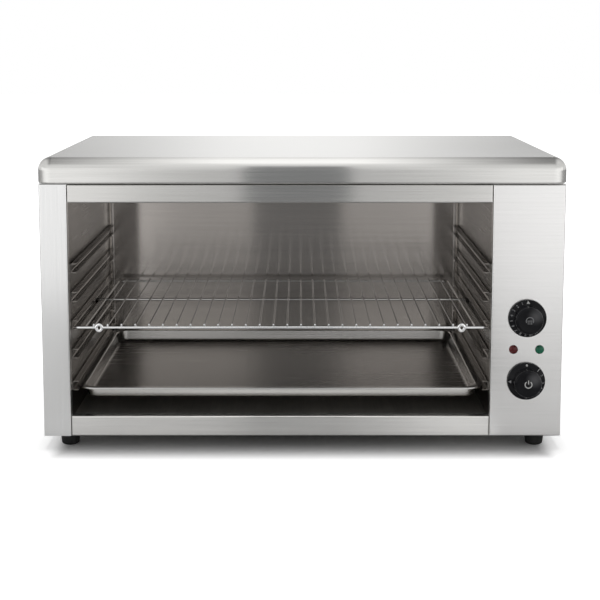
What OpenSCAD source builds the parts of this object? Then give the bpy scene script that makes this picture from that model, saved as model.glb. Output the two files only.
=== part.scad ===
// Cheese melter: an open-fronted counter grill in folded stainless sheet.
// Body coordinates: X across, Y back from the front plane, Z up from the base.

/* [Body] */
// Width of the body across its two side panels
body_w = 756; // [720:1:800]
// Depth of the body from the front plane to the back flanges
body_d = 434; // [434:1:470]
// Height of the body from the base to the flanges that carry the cover
body_h = 372; // [370:1:400]
// Thickness of the stainless sheet
sheet = 1; // [0.8:0.1:1.2]
// Outside radius of a fold
fold_r = 2; // [1.5:0.1:3]
// Width of the left front post
post_w = 40; // [34:1:50]
// Width of the control panel
panel_w = 104; // [98:1:116]
// Height of the rail above the opening
top_rail_h = 28; // [24:1:32]
// Height of the rail below the opening
bottom_rail_h = 30; // [28:1:34]
// Depth of the folded returns round the opening
return_d = 14; // [12:1:14]
// Gap between neighbouring front pieces
front_gap = 0.7; // [0.2:0.1:1.2]
// Shadow gap between the front pieces and the cover
cover_gap = 1.5; // [0.5:0.1:2.5]

/* [Top cover] */
// Height of the cover
cover_h = 37; // [35:1:50]
// Radius of the rounded upper edge
cover_edge_r = 18; // [12:1:20]
// Radius of the front corners seen from above
cover_corner_r = 21; // [21:1:30]
// Overhang beyond each side panel
cover_side_lip = 2; // [1:0.5:4]
// Overhang in front of the body
cover_front_lip = 6; // [3:1:10]
// Width of the flange that rests on the body
cover_flange_w = 20; // [16:1:24]

/* [Feet] */
// Height of the rubber feet
foot_h = 20; // [15:1:30]
// Diameter of a foot at the top
foot_d = 29; // [26:1:34]
// Distance of a foot's axis from the side of the body
foot_inset_x = 33; // [24:1:50]
// Distance of a foot's axis from the front and back of the body
foot_inset_y = 32; // [30:1:50]

/* [Cavity] */
// Distance from the front plane to the face of the back liner
cavity_d = 425; // [420:1:426]
// Height of the cavity floor above the base
floor_z = 24; // [20:1:26]
// Height of the ceiling reflector above the base
ceiling_z = 356; // [350:1:358]

/* [Runners] */
// Height of the top pair of runners, at mid channel
runner_top_z = 246; // [244:0.5:250]
// Pitch of the upper four pairs
runner_pitch = 42.3; // [40:0.1:44]
// Height of the lowest pair, at mid channel
runner_low_z = 71; // [66:0.5:76]
// Outside height of a channel
runner_h = 14; // [13:0.5:16]
// Width of a channel's lips
runner_w = 9; // [8:0.5:10]
// Length of a channel
runner_l = 400; // [380:1:402]

/* [Wire rack] */
// Length of the long bars, end to end
rack_w = 607; // [602:0.5:608]
// Distance from the front bar to the back wire
rack_d = 378; // [360:1:390]
// Distance from the front bar to the middle bar
rack_mid_d = 212; // [180:1:230]
// Width between the two side wires, on centres
rack_frame_w = 574; // [560:1:578]
// Diameter of the bars and of the outer wire
rack_bar_d = 4; // [3.5:0.1:4.5]
// Diameter of the cross wires
rack_wire_d = 2.6; // [2:0.1:3]
// Number of cross wires
rack_wires = 28; // [20:1:30]
// Pitch of the cross wires
rack_pitch = 20.24; // [16:0.01:20.5]
// Outside diameter of the ring eyelets
eyelet_d = 12.4; // [11:0.1:14]
// Distance of each eyelet from the middle of the bar
eyelet_x = 265.5; // [255:0.5:268]

/* [Baking tray] */
// Width over the rim
tray_w = 602; // [598:0.5:606]
// Depth over the rim
tray_d = 400; // [380:1:402]
// Height from the base to the top of the rim
tray_h = 17; // [14:0.5:20]
// Width of the rim
tray_rim_w = 10.5; // [9:0.5:12]
// How far the walls slope in towards the base
tray_draft = 6; // [3:0.5:8]
// Radius of the rim's corners
tray_corner_r = 28; // [24:1:34]

/* [Controls] */
// Diameter of a knob's dial skirt
knob_d = 55; // [50:1:58]
// Diameter of a knob's raised cap
knob_cap_d = 39; // [36:1:42]
// Reach of the knobs in front of the body
knob_reach = 24; // [22:1:28]
// Height of the thermostat spindle above the base
thermostat_z = 176; // [170:1:185]
// Height of the selector spindle above the base
selector_z = 83; // [74:1:90]
// Height of the pilot lamps above the base
lamp_z = 129.5; // [126:0.5:133]
// Distance between the two lamps
lamp_pitch = 38; // [34:1:44]

/* [Heating] */
// Diameter of the sheathed elements
element_d = 8; // [6.5:0.5:8.5]
// Distance between the legs of one element
element_leg_pitch = 60; // [50:1:62]
// Height of the elements above the base
element_z = 343; // [338:0.5:344]

/* [Cable gland] */
// Reach of the gland behind the back panel
gland_reach = 21; // [19:1:26]
// Diameter of the hole for the cable
gland_bore_d = 10; // [8:0.5:11]

/* [Hidden] */
$fn = 48;
eps = 0.01;
hull_fn = 32;

left_x = -body_w / 2;
right_x = body_w / 2;
cavity_left = left_x + post_w;
cavity_right = right_x - panel_w;
cavity_w = cavity_right - cavity_left;
cavity_x = (cavity_left + cavity_right) / 2;
// The base pan and the liners start behind the folded returns.
inner_front_y = return_d + 2 * sheet;
total_d = knob_reach + body_d + sheet + gland_reach;
front_y = knob_reach - total_d / 2;
back_face_y = body_d + sheet;
base_flange_h = 16;
side_flange_w = 38;

levels = 5;
runner_front_y = 18;
channel_r = 3;

rack_bar_y = 20;
rack_rest_gap = 0.3;
weld_sink = 0.35;

tray_sheet = 1;
tray_front_y = 18;
tray_rim_drop = 2.2;

screw_r = 1.9;
screw_hole_r = 2;
foot_screw_r = 2;

controls_x = right_x - panel_w / 2;
spindle_r = 3;
spindle_play = 0.05;
control_screw_x = 14;

louvre_w = 50;
louvre_r = 6;

bush_r = 5;
knob_gap = 1.2;
lamp_r = 5.4;

mount_plate_t = 1.5;
thermostat_d = 26;
thermostat_back_y = sheet + mount_plate_t - 0.1 + thermostat_d;
bulb_r = 3;
bulb_l = 90;
bulb_x = cavity_right - 70 - bulb_l;
bulb_y = cavity_d - 22;
bulb_z = element_z - 9;
capillary_r = 0.9;

element_first_y = 70;
element_pitch_y = 115;
element_left_x = cavity_left + 50;
hanger_margin = 12;

gland_x = controls_x;
gland_z = 60;
gland_thread_r = 8;
stud_x = cavity_right + 22;
stud_z = 30;
stud_r = 3;
stud_washer_t = 1.2;
stud_nut_h = 4.8;
stud_groove_w = 0.6;
stud_free_l = 9.4;

steel = [0.78, 0.78, 0.77];
bright = [0.66, 0.64, 0.62];
wire_steel = [0.86, 0.86, 0.86];
black = [0.07, 0.07, 0.08];
rubber = [0.05, 0.05, 0.05];
element_steel = [0.3, 0.29, 0.28];
zinc = [0.7, 0.7, 0.66];
brass = [0.8, 0.66, 0.35];
copper = [0.72, 0.43, 0.28];
cream = [0.9, 0.88, 0.8];

// ---------- Shared shapes ----------

// Moves a piece from body coordinates to the origin under the middle of the object.
module in_body() {
    translate([0, front_y, foot_h]) children();
}

// Rectangle from the origin with rounded corners.
module rounded_rect(w, d, r) {
    translate([r, 0]) square([w - 2 * r, d]);
    translate([0, r]) square([w, d - 2 * r]);
    for (x = [r, w - r], y = [r, d - r]) translate([x, y]) circle(r = r);
}

// Closed tube of folded sheet, seen end on.
module folded_tube(w, d, r) {
    difference() {
        rounded_rect(w, d, r);
        translate([sheet, sheet]) rounded_rect(w - 2 * sheet, d - 2 * sheet, r - sheet);
    }
}

// Folded channel seen end on: web on the left, lips of length w pointing right.
module folded_channel(w, d, r) {
    intersection() {
        folded_tube(2 * w, d, r);
        square([w, d]);
    }
}

// Clearance holes for the back panel screws and the cover screws.
module fastener_holes() {
    for (p = back_screw_places())
        translate([p[0], body_d - 2 * sheet - 1, p[1]]) along_y(screw_hole_r, 3 * sheet + 2);
    for (p = cover_screw_places())
        translate([p[0], p[1], body_h - 2 * sheet]) cylinder(r = screw_hole_r, h = 3 * sheet);
}

// Slot with round ends, its length along X.
module slot_outline(l, w) {
    translate([-(l - w) / 2, -w / 2]) square([l - w, w]);
    for (s = [-1, 1]) translate([s * (l - w) / 2, 0]) circle(r = w / 2);
}

// Cylinder along Y from the origin, for what passes through the front or the back.
module along_y(r, l) {
    rotate([-90, 0, 0]) cylinder(r = r, h = l);
}

// Quarter bend of a round rod about Z, from the X side to the Y side.
module quarter_bend(bend_r, r) {
    rotate_extrude(angle = 90) translate([bend_r, 0]) circle(r = r);
}

// Pan-head screw driven along +Z: its head lies below z = 0 and its shank above.
module pan_screw(head_r, shank_r, l) {
    head_h = head_r * 0.62;
    rotate_extrude() intersection() {
        translate([0, head_r * 0.55]) circle(r = head_r * 1.17);
        translate([0, -head_h]) square([head_r, head_h]);
    }
    translate([0, 0, -eps]) cylinder(r = shank_r, h = l);
}

// Hexagonal nut or head across flats af, centred on Z.
module hexagon(af, h) {
    cylinder(r = af / 2 / cos(30), h = h, $fn = 6);
}

// ---------- Casing ----------

// Side view of the cover's rounded band, from the corner axis out to its face.
// inset shrinks it by the sheet for the hollow.
module cover_band_outline(inset) {
    r = cover_edge_r - inset;
    low_r = fold_r + 0.5 - inset;
    reach = cover_corner_r - inset;
    top = cover_h - inset;
    translate([0, inset]) square([reach - r, top - inset]);
    translate([0, inset + low_r]) square([reach, top - inset - r - low_r]);
    translate([0, inset]) square([reach - low_r, top - inset - r]);
    translate([reach - r, top - r]) circle(r = r);
    translate([reach - low_r, inset + low_r]) circle(r = low_r);
}

// The cover as a solid slab: rounded at the front and sides, square at the back.
module cover_form(inset) {
    half_w = body_w / 2 + cover_side_lip - cover_corner_r;
    y0 = cover_corner_r - cover_front_lip;
    y1 = back_face_y + sheet - inset;
    for (s = [0, 1]) mirror([s, 0, 0]) translate([half_w, y0, 0]) {
        rotate([0, 0, -90]) rotate_extrude(angle = 90) intersection() {
            cover_band_outline(inset);
            square([cover_corner_r, cover_h]);
        }
        rotate([90, 0, 0]) mirror([0, 0, 1]) linear_extrude(y1 - y0) intersection() {
            cover_band_outline(inset);
            square([cover_corner_r, cover_h]);
        }
    }
    translate([-half_w, y0, 0]) rotate([90, 0, 90]) mirror([1, 0, 0])
        linear_extrude(2 * half_w) intersection() {
            cover_band_outline(inset);
            square([cover_corner_r, cover_h]);
        }
    translate([-half_w, y0 - eps, inset]) cube([2 * half_w, y1 - y0 + eps, cover_h - 2 * inset]);
}

// One pressed lid: rounded band, flat top and a flange folded in underneath.
module top_cover() {
    open_w = body_w + 2 * cover_side_lip - 2 * cover_flange_w;
    open_y = cover_flange_w - cover_front_lip;
    color(steel) in_body() translate([0, 0, body_h]) difference() {
        cover_form(0);
        cover_form(sheet);
        translate([-open_w / 2, open_y, -1])
            cube([open_w, back_face_y - cover_flange_w - open_y, sheet + 2]);
        for (p = cover_screw_places()) translate([p[0], p[1], -1]) cylinder(r = screw_hole_r, h = sheet + 2);
    }
}

// Outer side folded round into the front post, with flanges at its back and top.
// The post stops short of the cover in front, which leaves the shadow gap.
module left_side_panel() {
    color(steel) in_body() difference() {
        union() {
            translate([left_x, 0, 0]) linear_extrude(body_h) difference() {
                folded_tube(post_w, body_d, fold_r);
                translate([side_flange_w, return_d]) square([post_w, body_d]);
            }
            translate([left_x + sheet / 2, sheet / 2, body_h - sheet])
                cube([post_w - 2 * sheet, body_d - sheet, sheet]);
            translate([left_x + sheet / 2, sheet / 2, 0]) cube([post_w - sheet, return_d, sheet]);
        }
        translate([left_x - 1, -1, body_h - cover_gap])
            cube([post_w + 2, cover_front_lip + 1, 2 * cover_gap]);
        fastener_holes();
    }
}

// Outer side behind the control panel. Its top flange closes the control compartment,
// and its front flange is narrow to clear the thermostat and the switch.
module right_side_panel() {
    y0 = return_d + sheet;
    front_flange_w = 24;
    color(steel) in_body() difference() {
        union() {
            translate([right_x, y0, 0]) mirror([1, 0, 0]) linear_extrude(body_h) difference() {
                folded_tube(post_w, body_d - y0, fold_r);
                translate([side_flange_w, -1]) square([post_w, body_d]);
                translate([front_flange_w, -1]) square([post_w, 3 * fold_r]);
            }
            translate([cavity_right + sheet, y0 + sheet / 2, body_h - sheet])
                cube([panel_w - 1.5 * sheet, body_d - y0 - sheet, sheet]);
        }
        fastener_holes();
    }
}

// Pressed louvre: a slot in the sheet under a quarter-round hood that sheds water.
module louvre_hood() {
    rotate([90, 0, 90]) linear_extrude(louvre_w) intersection() {
        difference() {
            circle(r = louvre_r);
            circle(r = louvre_r - sheet);
        }
        square(louvre_r);
    }
    for (x = [0, louvre_w - sheet])
        translate([x, 0, 0]) rotate([90, 0, 90]) linear_extrude(sheet) intersection() {
            circle(r = louvre_r);
            square(louvre_r);
        }
}

// Flat back with louvres over the control compartment, holes for gland and stud, and a top flange.
module back_panel() {
    margin = 12;
    low = 6;
    flange = 8;
    louvre_x = cavity_right + 12;
    louvre_z = [for (i = [0:8]) 130 + 22 * i];
    color(steel) in_body() {
        difference() {
            translate([left_x + margin, body_d, low])
                cube([body_w - 2 * margin, sheet, body_h - low]);
            for (z = louvre_z) translate([louvre_x + sheet, body_d - 1, z])
                cube([louvre_w - 2 * sheet, sheet + 2, louvre_r - sheet]);
            translate([gland_x, body_d - 1, gland_z]) along_y(gland_thread_r + 0.1, sheet + 2);
            translate([stud_x, body_d - 1, stud_z]) along_y(stud_r + 0.1, sheet + 2);
            fastener_holes();
        }
        for (z = louvre_z) translate([louvre_x, body_d + sheet / 2, z]) louvre_hood();
        translate([cavity_left + 1, body_d - flange, body_h - sheet])
            cube([cavity_w - 2, flange + eps, sheet]);
    }
}

// Shallow pan that closes the base, with foot holes and vents below the controls.
module base_pan() {
    pan_w = body_w - 2 * sheet - 0.1;
    pan_d = body_d - inner_front_y;
    color(steel) in_body() difference() {
        translate([-pan_w / 2, inner_front_y, 0]) cube([pan_w, pan_d, base_flange_h]);
        translate([-pan_w / 2 + sheet, inner_front_y - 1, sheet])
            cube([pan_w - 2 * sheet, pan_d - sheet + 1, base_flange_h]);
        for (s = [-1, 1]) translate([s * (right_x - side_flange_w / 2), body_d, 0])
            cube([side_flange_w + 4, 2 * sheet, 3 * base_flange_h], center = true);
        fastener_holes();
        for (p = foot_places()) translate([p[0], p[1], -1]) cylinder(r = foot_screw_r + 0.2, h = sheet + 2);
        for (i = [0:7]) translate([controls_x - 8, 90 + 14 * i, -1])
            linear_extrude(sheet + 2) slot_outline(52, 5);
    }
}

// Block with its front at y = 0 and the radius r along its four front edges.
module front_block(w, d, h, r) {
    intersection() {
        linear_extrude(h) rounded_rect(w, 2 * d, r);
        rotate([90, 0, 90]) linear_extrude(w) rounded_rect(2 * d, h, r);
        cube([w, d, h]);
    }
}

// Front piece folded back on all four sides and open behind.
module folded_front(w, h) {
    difference() {
        front_block(w, return_d, h, fold_r);
        translate([sheet, sheet, sheet])
            front_block(w - 2 * sheet, return_d, h - 2 * sheet, fold_r - sheet);
    }
}

// Rail of height h between the post and the control panel, whose lips are spot-welded to them.
module front_rail(h) {
    weld_l = 5;
    translate([cavity_left + front_gap, 0, 0]) folded_front(cavity_w - 2 * front_gap, h);
    for (z = [0, h - sheet]) translate([cavity_left, return_d - weld_l, z]) cube([cavity_w, weld_l, sheet]);
}

// Tab of width w that steps up behind the lower lip and laps over the base pan.
module pan_lap(w) {
    translate([0, return_d - sheet, sheet / 2]) cube([w, 2 * sheet, sheet]);
    translate([0, return_d, sheet]) cube([w, 14, sheet]);
}

module top_rail() {
    color(steel) in_body() translate([0, 0, body_h - top_rail_h]) front_rail(top_rail_h - cover_gap);
}

module bottom_rail() {
    lap_inset = 20;
    color(steel) in_body() {
        front_rail(bottom_rail_h);
        translate([cavity_left + lap_inset, 0, 0]) pan_lap(cavity_w - 2 * lap_inset);
    }
}

// Upright front piece that carries the knobs and lamps.
module control_panel() {
    color(steel) in_body() difference() {
        union() {
            translate([cavity_right, 0, 0]) folded_front(panel_w, body_h - cover_gap);
            translate([cavity_right + 14, 0, 0]) pan_lap(panel_w - post_w - 16);
        }
        for (z = [thermostat_z, selector_z]) translate([controls_x, -1, z]) {
            along_y(bush_r + 0.2, sheet + 2);
            for (s = [-1, 1]) translate([s * control_screw_x, 0, 0]) along_y(1.8, sheet + 2);
        }
        for (s = [-1, 1]) translate([controls_x + s * lamp_pitch / 2, -1, lamp_z])
            along_y(lamp_r + 0.1, sheet + 2);
    }
}

// ---------- Cavity ----------

// Upright liner with lips folded away from the cavity at its top and bottom.
module side_liner() {
    lip_w = 11;
    translate([0, inner_front_y, sheet]) rotate([90, 0, 0]) mirror([0, 0, 1])
        linear_extrude(cavity_d - inner_front_y) mirror([1, 0])
            folded_channel(lip_w, body_h - 2 * sheet, fold_r);
}

// The left liner's lower lip is drilled for the foot screws.
module left_liner() {
    color(bright) in_body() difference() {
        translate([cavity_left, 0, 0]) side_liner();
        for (p = foot_places()) translate([p[0], p[1], 0]) cylinder(r = foot_screw_r + 0.2, h = 4);
    }
}

// The right liner is drilled for the element ends and for the capillary.
module right_liner() {
    color(bright) in_body() difference() {
        translate([cavity_right, 0, 0]) mirror([1, 0, 0]) side_liner();
        for (y = element_leg_places()) translate([cavity_right - 1, y, element_z])
            rotate([0, 90, 0]) cylinder(r = element_d / 2 + 1.2, h = sheet + 2);
        translate([cavity_right - 1, bulb_y, bulb_z]) rotate([0, 90, 0]) cylinder(r = 2.5, h = sheet + 2);
    }
}

// Back liner with its sides folded back to the base pan's rear flange.
module back_liner() {
    color(bright) in_body() translate([cavity_left, cavity_d, sheet]) linear_extrude(body_h - 2 * sheet)
        intersection() {
            folded_tube(cavity_w, 3 * (body_d - cavity_d), fold_r);
            square([cavity_w, body_d - sheet - cavity_d]);
        }
}

// Upturned tray whose folded edges stand on the base pan and on the bottom rail's lap.
module cavity_floor() {
    d = cavity_d - inner_front_y;
    color(bright) in_body() translate([cavity_left, inner_front_y, sheet]) difference() {
        cube([cavity_w, d, floor_z - sheet]);
        translate([sheet, sheet, -1]) cube([cavity_w - 2 * sheet, d, floor_z - 2 * sheet + 1]);
        translate([18, -1, -1]) cube([cavity_w - 36, 3, sheet + 1]);
    }
}

// Bright ceiling over the elements, its edges turned up and riveted to the liners.
module ceiling_reflector() {
    d = cavity_d - inner_front_y;
    lip = 9;
    color(bright) in_body() translate([cavity_left, inner_front_y, ceiling_z]) difference() {
        cube([cavity_w, d, lip]);
        translate([sheet, sheet, sheet]) cube([cavity_w - 2 * sheet, d - 2 * sheet, lip]);
    }
}

// Height of the middle of runner level i, counted from the top.
function level_z(i) = i == levels ? runner_low_z : runner_top_z - (i - 1) * runner_pitch;

// C-shaped channel that opens towards the middle of the cavity.
module runner(i) {
    translate([0, runner_front_y, level_z(i) - runner_h / 2]) rotate([90, 0, 0]) mirror([0, 0, 1])
        linear_extrude(runner_l) folded_channel(runner_w, runner_h, channel_r);
}

module left_runner(i) {
    color(bright) in_body() translate([cavity_left, 0, 0]) runner(i);
}

module right_runner(i) {
    color(bright) in_body() translate([cavity_right, 0, 0]) mirror([1, 0, 0]) runner(i);
}

// ---------- Rack and tray ----------

// Top face of a channel's lower lip.
function lip_top(i) = level_z(i) - runner_h / 2 + sheet;

// Ring welded on the front bar, in the plane of the rack's front.
module eyelet_ring() {
    translate([0, -rack_bar_d / 2, 0]) along_y(eyelet_d / 2, rack_bar_d - 1.2);
}

// Upright oval hole through ring and bar, for the lifting hook.
module eyelet_hole() {
    translate([0, -rack_bar_d, 0]) rotate([-90, 0, 0]) linear_extrude(2 * rack_bar_d)
        rotate(90) slot_outline(6.2, 3.8);
}

// Welded rack: two long bars that ride in the channels, a bent outer wire and cross wires.
module wire_rack() {
    r = rack_bar_d / 2;
    wire_r = rack_wire_d / 2;
    corner_r = 12;
    half = rack_frame_w / 2;
    wire_z = r + wire_r - weld_sink;
    color(wire_steel) in_body()
        translate([cavity_x, rack_bar_y, lip_top(3) + rack_rest_gap + r]) {
            difference() {
                union() {
                    for (y = [0, rack_mid_d]) translate([-rack_w / 2, y, 0]) rotate([0, 90, 0])
                        cylinder(r = r, h = rack_w);
                    for (s = [-1, 1]) translate([s * eyelet_x, 0, 0]) eyelet_ring();
                }
                for (s = [-1, 1]) translate([s * eyelet_x, 0, 0]) eyelet_hole();
            }
            for (s = [-1, 1]) translate([s * half, 0, 0]) along_y(r, rack_d - corner_r);
            translate([-half + corner_r, rack_d, 0]) rotate([0, 90, 0])
                cylinder(r = r, h = rack_frame_w - 2 * corner_r);
            for (s = [0, 1]) mirror([s, 0, 0]) translate([half - corner_r, rack_d - corner_r, 0])
                quarter_bend(corner_r, r);
            for (i = [0:rack_wires - 1])
                translate([(i - (rack_wires - 1) / 2) * rack_pitch, -r, wire_z])
                    along_y(wire_r, rack_d + 2 * r);
        }
}

// Round-cornered rectangle w by d, centred, as a thin slab at height z.
module tray_section(w, d, r, z) {
    for (sx = [-1, 1], sy = [-1, 1])
        translate([sx * (w / 2 - r), sy * (d / 2 - r), z]) cylinder(r = r, h = eps, $fn = hull_fn);
}

// The pan's body as a solid from z0 to z1; shrink makes the smaller one for the inside.
module tray_bowl(shrink, z0, z1) {
    top_w = tray_w - 2 * tray_rim_w - 2 * shrink;
    top_d = tray_d - 2 * tray_rim_w - 2 * shrink;
    r = tray_corner_r - tray_rim_w / 2 - shrink;
    edge = 4;
    hull() {
        tray_section(top_w, top_d, r, z1);
        tray_section(top_w - 1.6 * tray_draft, top_d - 1.6 * tray_draft, r - 2, z0 + edge);
        tray_section(top_w - 2 * tray_draft - 1.4, top_d - 2 * tray_draft - 1.4, r - 3, z0 + 1.2);
        tray_section(top_w - 2 * tray_draft - edge, top_d - 2 * tray_draft - edge, r - 5, z0);
    }
}

// Slab of the rim's outline, h thick from z up, set in by inset on every side.
module rim_slab(z, h, inset) {
    r = tray_corner_r - inset;
    w = tray_w - 2 * inset;
    d = tray_d - 2 * inset;
    translate([-w / 2, -d / 2, z]) linear_extrude(h) rounded_rect(w, d, r);
}

// Pressed tray with sloping walls and a flat rim turned down at its edge.
module baking_tray() {
    color(steel) in_body()
        translate([cavity_x, tray_front_y + tray_d / 2,
                   lip_top(levels) + rack_rest_gap + tray_rim_drop - tray_h])
            difference() {
                union() {
                    tray_bowl(0, 0, tray_h - tray_sheet);
                    difference() {
                        rim_slab(tray_h - tray_rim_drop, tray_rim_drop, 0);
                        rim_slab(tray_h - tray_rim_drop - 1, tray_rim_drop + 1 - tray_sheet, tray_sheet);
                    }
                }
                tray_bowl(tray_sheet, tray_sheet, tray_h + 1);
            }
}

// ---------- Heating ----------

function element_leg_places() =
    [for (i = [0:2], s = [0, 1]) element_first_y + i * element_pitch_y + s * element_leg_pitch];

// Hairpin element i: two legs along X, a bend at the left, cold ends through the right liner.
module heating_element(i) {
    r = element_d / 2;
    y0 = element_first_y + (i - 1) * element_pitch_y;
    bend_r = element_leg_pitch / 2;
    leg_l = cavity_right + 8 - element_left_x - bend_r;
    color(element_steel) in_body() translate([element_left_x + bend_r, y0 + bend_r, element_z]) {
        rotate([0, 0, 90]) rotate_extrude(angle = 180) translate([bend_r, 0]) circle(r = r);
        for (s = [-1, 1]) translate([0, s * bend_r, 0]) rotate([0, 90, 0]) {
            cylinder(r = r, h = leg_l);
            translate([0, 0, leg_l - 15]) cylinder(r = r + 1, h = 18);
            translate([0, 0, leg_l - 10]) cylinder(r = r + 4, h = 2);
            translate([0, 0, leg_l]) cylinder(r = 1.6, h = 16);
        }
    }
}

// Clamp nut on each element end, outside the right liner.
module element_nuts() {
    color(zinc) in_body() for (y = element_leg_places())
        translate([cavity_right + sheet, y, element_z]) rotate([0, 90, 0]) difference() {
            hexagon(17, 5);
            translate([0, 0, -1]) cylinder(r = element_d / 2 + 1.05, h = 7);
        }
}

// Drilled strip that hangs from the ceiling and carries all the legs.
module element_hanger(i) {
    x = i == 1 ? cavity_left + cavity_w * 0.3 : cavity_left + cavity_w * 0.72;
    legs = element_leg_places();
    y0 = legs[0] - hanger_margin;
    l = legs[5] - legs[0] + 2 * hanger_margin;
    drop = ceiling_z - element_z + element_d / 2 + 2.5;
    color(bright) in_body() translate([x, 0, 0]) {
        difference() {
            translate([0, y0, ceiling_z - drop]) cube([1.5, l, drop]);
            for (y = legs) translate([-1, y, element_z]) rotate([0, 90, 0])
                cylinder(r = element_d / 2 + 0.3, h = 4);
        }
        translate([0, y0, ceiling_z - 1.5]) cube([14, l, 1.5]);
    }
}

// ---------- Controls ----------

// Knob with a dial skirt and a raised cap, hollow behind, with a hub and four ribs.
// Its axis is Z, with z = 0 at the back of the skirt.
module knob() {
    skirt_r = knob_d / 2;
    cap_r = knob_cap_d / 2;
    h = knob_reach - knob_gap;
    skirt_h = 7;
    wall = 2.2;
    round_r = 3;
    hub_r = 6.5;
    difference() {
        rotate_extrude($fn = 96) {
            difference() {
                union() {
                    polygon([[0, 0], [skirt_r, 0], [skirt_r, 2.5], [skirt_r - 1.2, 4.2],
                             [cap_r, skirt_h], [0, skirt_h]]);
                    polygon([[0, 0], [cap_r + 0.6, 0], [cap_r - 0.6, h - round_r],
                             [cap_r - round_r - 0.6, h - round_r], [0, h - round_r]]);
                    square([cap_r - round_r - 0.6, h]);
                    translate([cap_r - round_r - 0.6, h - round_r]) circle(r = round_r);
                }
                translate([0, -1]) square([cap_r - wall - 0.8, h - wall + 1]);
                translate([0, -1]) square([skirt_r - wall, wall + 1]);
                translate([-round_r - 1, -1]) square([round_r + 1, h + 2]);
            }
            translate([spindle_r, wall]) square([hub_r - spindle_r, h - wall - 1]);
        }
    }
    for (a = [45:90:315]) rotate([0, 0, a]) translate([hub_r - 0.5, -0.7, wall + 1])
        cube([cap_r - wall - hub_r, 1.4, h - wall - 2]);
    translate([-spindle_r, spindle_r - 1.4, wall + 4]) cube([2 * spindle_r, 1.6, h - wall - 5]);
}

// Spindle with a flat on its front half; z = 0 at its front end.
module spindle() {
    l = knob_reach + 16;
    difference() {
        cylinder(r = spindle_r, h = l);
        translate([-spindle_r, -spindle_r - 0.6, -1]) cube([2 * spindle_r, 2, 14]);
    }
}

module place_control(z) {
    in_body() translate([controls_x, 0, z]) children();
}

module thermostat_knob() {
    color(black) place_control(thermostat_z) translate([0, -knob_gap, 0]) rotate([90, 0, 0]) knob();
}

module selector_knob() {
    color(black) place_control(selector_z) translate([0, -knob_gap, 0]) rotate([90, 0, 0]) knob();
}

module thermostat_spindle() {
    color(zinc) place_control(thermostat_z) translate([0, -knob_reach + 4, 0]) rotate([-90, 0, 0]) spindle();
}

module selector_spindle() {
    color(zinc) place_control(selector_z) translate([0, -knob_reach + 4, 0]) rotate([-90, 0, 0]) spindle();
}

// Spade terminal, standing along Y.
module spade() {
    translate([-3.15, 0, -0.4]) cube([6.3, 9, 0.8]);
}

// Threaded bush through the panel, mounting plate and housing; y = 0 at the panel's face.
// Children are added behind before the spindle's bore and the screw holes are cut.
module control_body(w, h, d) {
    difference() {
        union() {
            translate([0, -3, 0]) along_y(bush_r, 6);
            translate([-23, sheet, -16]) cube([46, mount_plate_t, 32]);
            translate([-w / 2, sheet + mount_plate_t - 0.1, -h / 2]) cube([w, d, h]);
            children();
        }
        translate([0, -4, 0]) along_y(spindle_r + spindle_play, knob_reach + 4);
        for (s = [-1, 1]) translate([s * control_screw_x, 0, 0]) along_y(1.7, 8);
    }
}

// Capillary thermostat: housing, bush and terminals.
module thermostat() {
    color(cream) place_control(thermostat_z) control_body(40, 32, thermostat_d)
        for (x = [-10, 10]) translate([x, thermostat_back_y - 1, -6]) spade();
}

// Sensing bulb under the ceiling, at the back.
module thermostat_bulb() {
    color(copper) in_body() translate([bulb_x, bulb_y, bulb_z])
        rotate([0, 90, 0]) cylinder(r = bulb_r, h = bulb_l);
}

// Capillary from the bulb through the right liner, down, forward and into the thermostat's back.
module capillary_tube() {
    bend_r = 12;
    drop_x = cavity_right + 20;
    turn_y = 60;
    low_z = thermostat_z + 8;
    r = capillary_r;
    start_x = bulb_x + bulb_l;
    color(copper) in_body() {
        translate([start_x, bulb_y, bulb_z]) rotate([0, 90, 0])
            cylinder(r = r, h = drop_x - bend_r - start_x);
        translate([drop_x - bend_r, bulb_y, bulb_z - bend_r]) rotate([90, 0, 0]) quarter_bend(bend_r, r);
        translate([drop_x, bulb_y, low_z + bend_r]) cylinder(r = r, h = bulb_z - low_z - 2 * bend_r);
        translate([drop_x, bulb_y - bend_r, low_z + bend_r]) rotate([0, 90, 0]) quarter_bend(bend_r, r);
        translate([drop_x, turn_y + bend_r, low_z]) along_y(r, bulb_y - turn_y - 2 * bend_r);
        translate([drop_x + bend_r, turn_y + bend_r, low_z]) rotate([0, 0, 180]) quarter_bend(bend_r, r);
        translate([drop_x + bend_r, turn_y, low_z]) rotate([0, 90, 0])
            cylinder(r = r, h = controls_x - drop_x - 2 * bend_r);
        translate([controls_x - bend_r, turn_y - bend_r, low_z]) quarter_bend(bend_r, r);
        translate([controls_x, thermostat_back_y, low_z]) along_y(r, turn_y - bend_r - thermostat_back_y);
    }
}

// Two spring clips that hold the bulb to the back liner.
module bulb_clips() {
    color(bright) in_body() for (x = [bulb_x + 15, bulb_x + bulb_l - 21]) translate([x, bulb_y, bulb_z])
        rotate([90, 0, 90]) linear_extrude(6) {
            difference() {
                circle(r = bulb_r + 1);
                circle(r = bulb_r);
                translate([-2, -bulb_r - 2]) square([4, 3]);
            }
            translate([bulb_r + 0.5, -0.5]) square([cavity_d - bulb_y - bulb_r - 0.5, 1]);
        }
}

// Rotary switch: stacked wafers behind a mounting plate.
module selector_switch() {
    wafer = 40;
    depth = 30;
    color(cream) place_control(selector_z) control_body(34, 34, depth) {
        for (y = [10, 20]) translate([0, sheet + y, 0]) rotate([-90, 0, 0])
            linear_extrude(4) translate([-wafer / 2, -wafer / 2]) rounded_rect(wafer, wafer, 3);
        for (x = [-10, 0, 10], z = [-8, 8]) translate([x, sheet + depth, z]) spade();
    }
}

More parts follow.
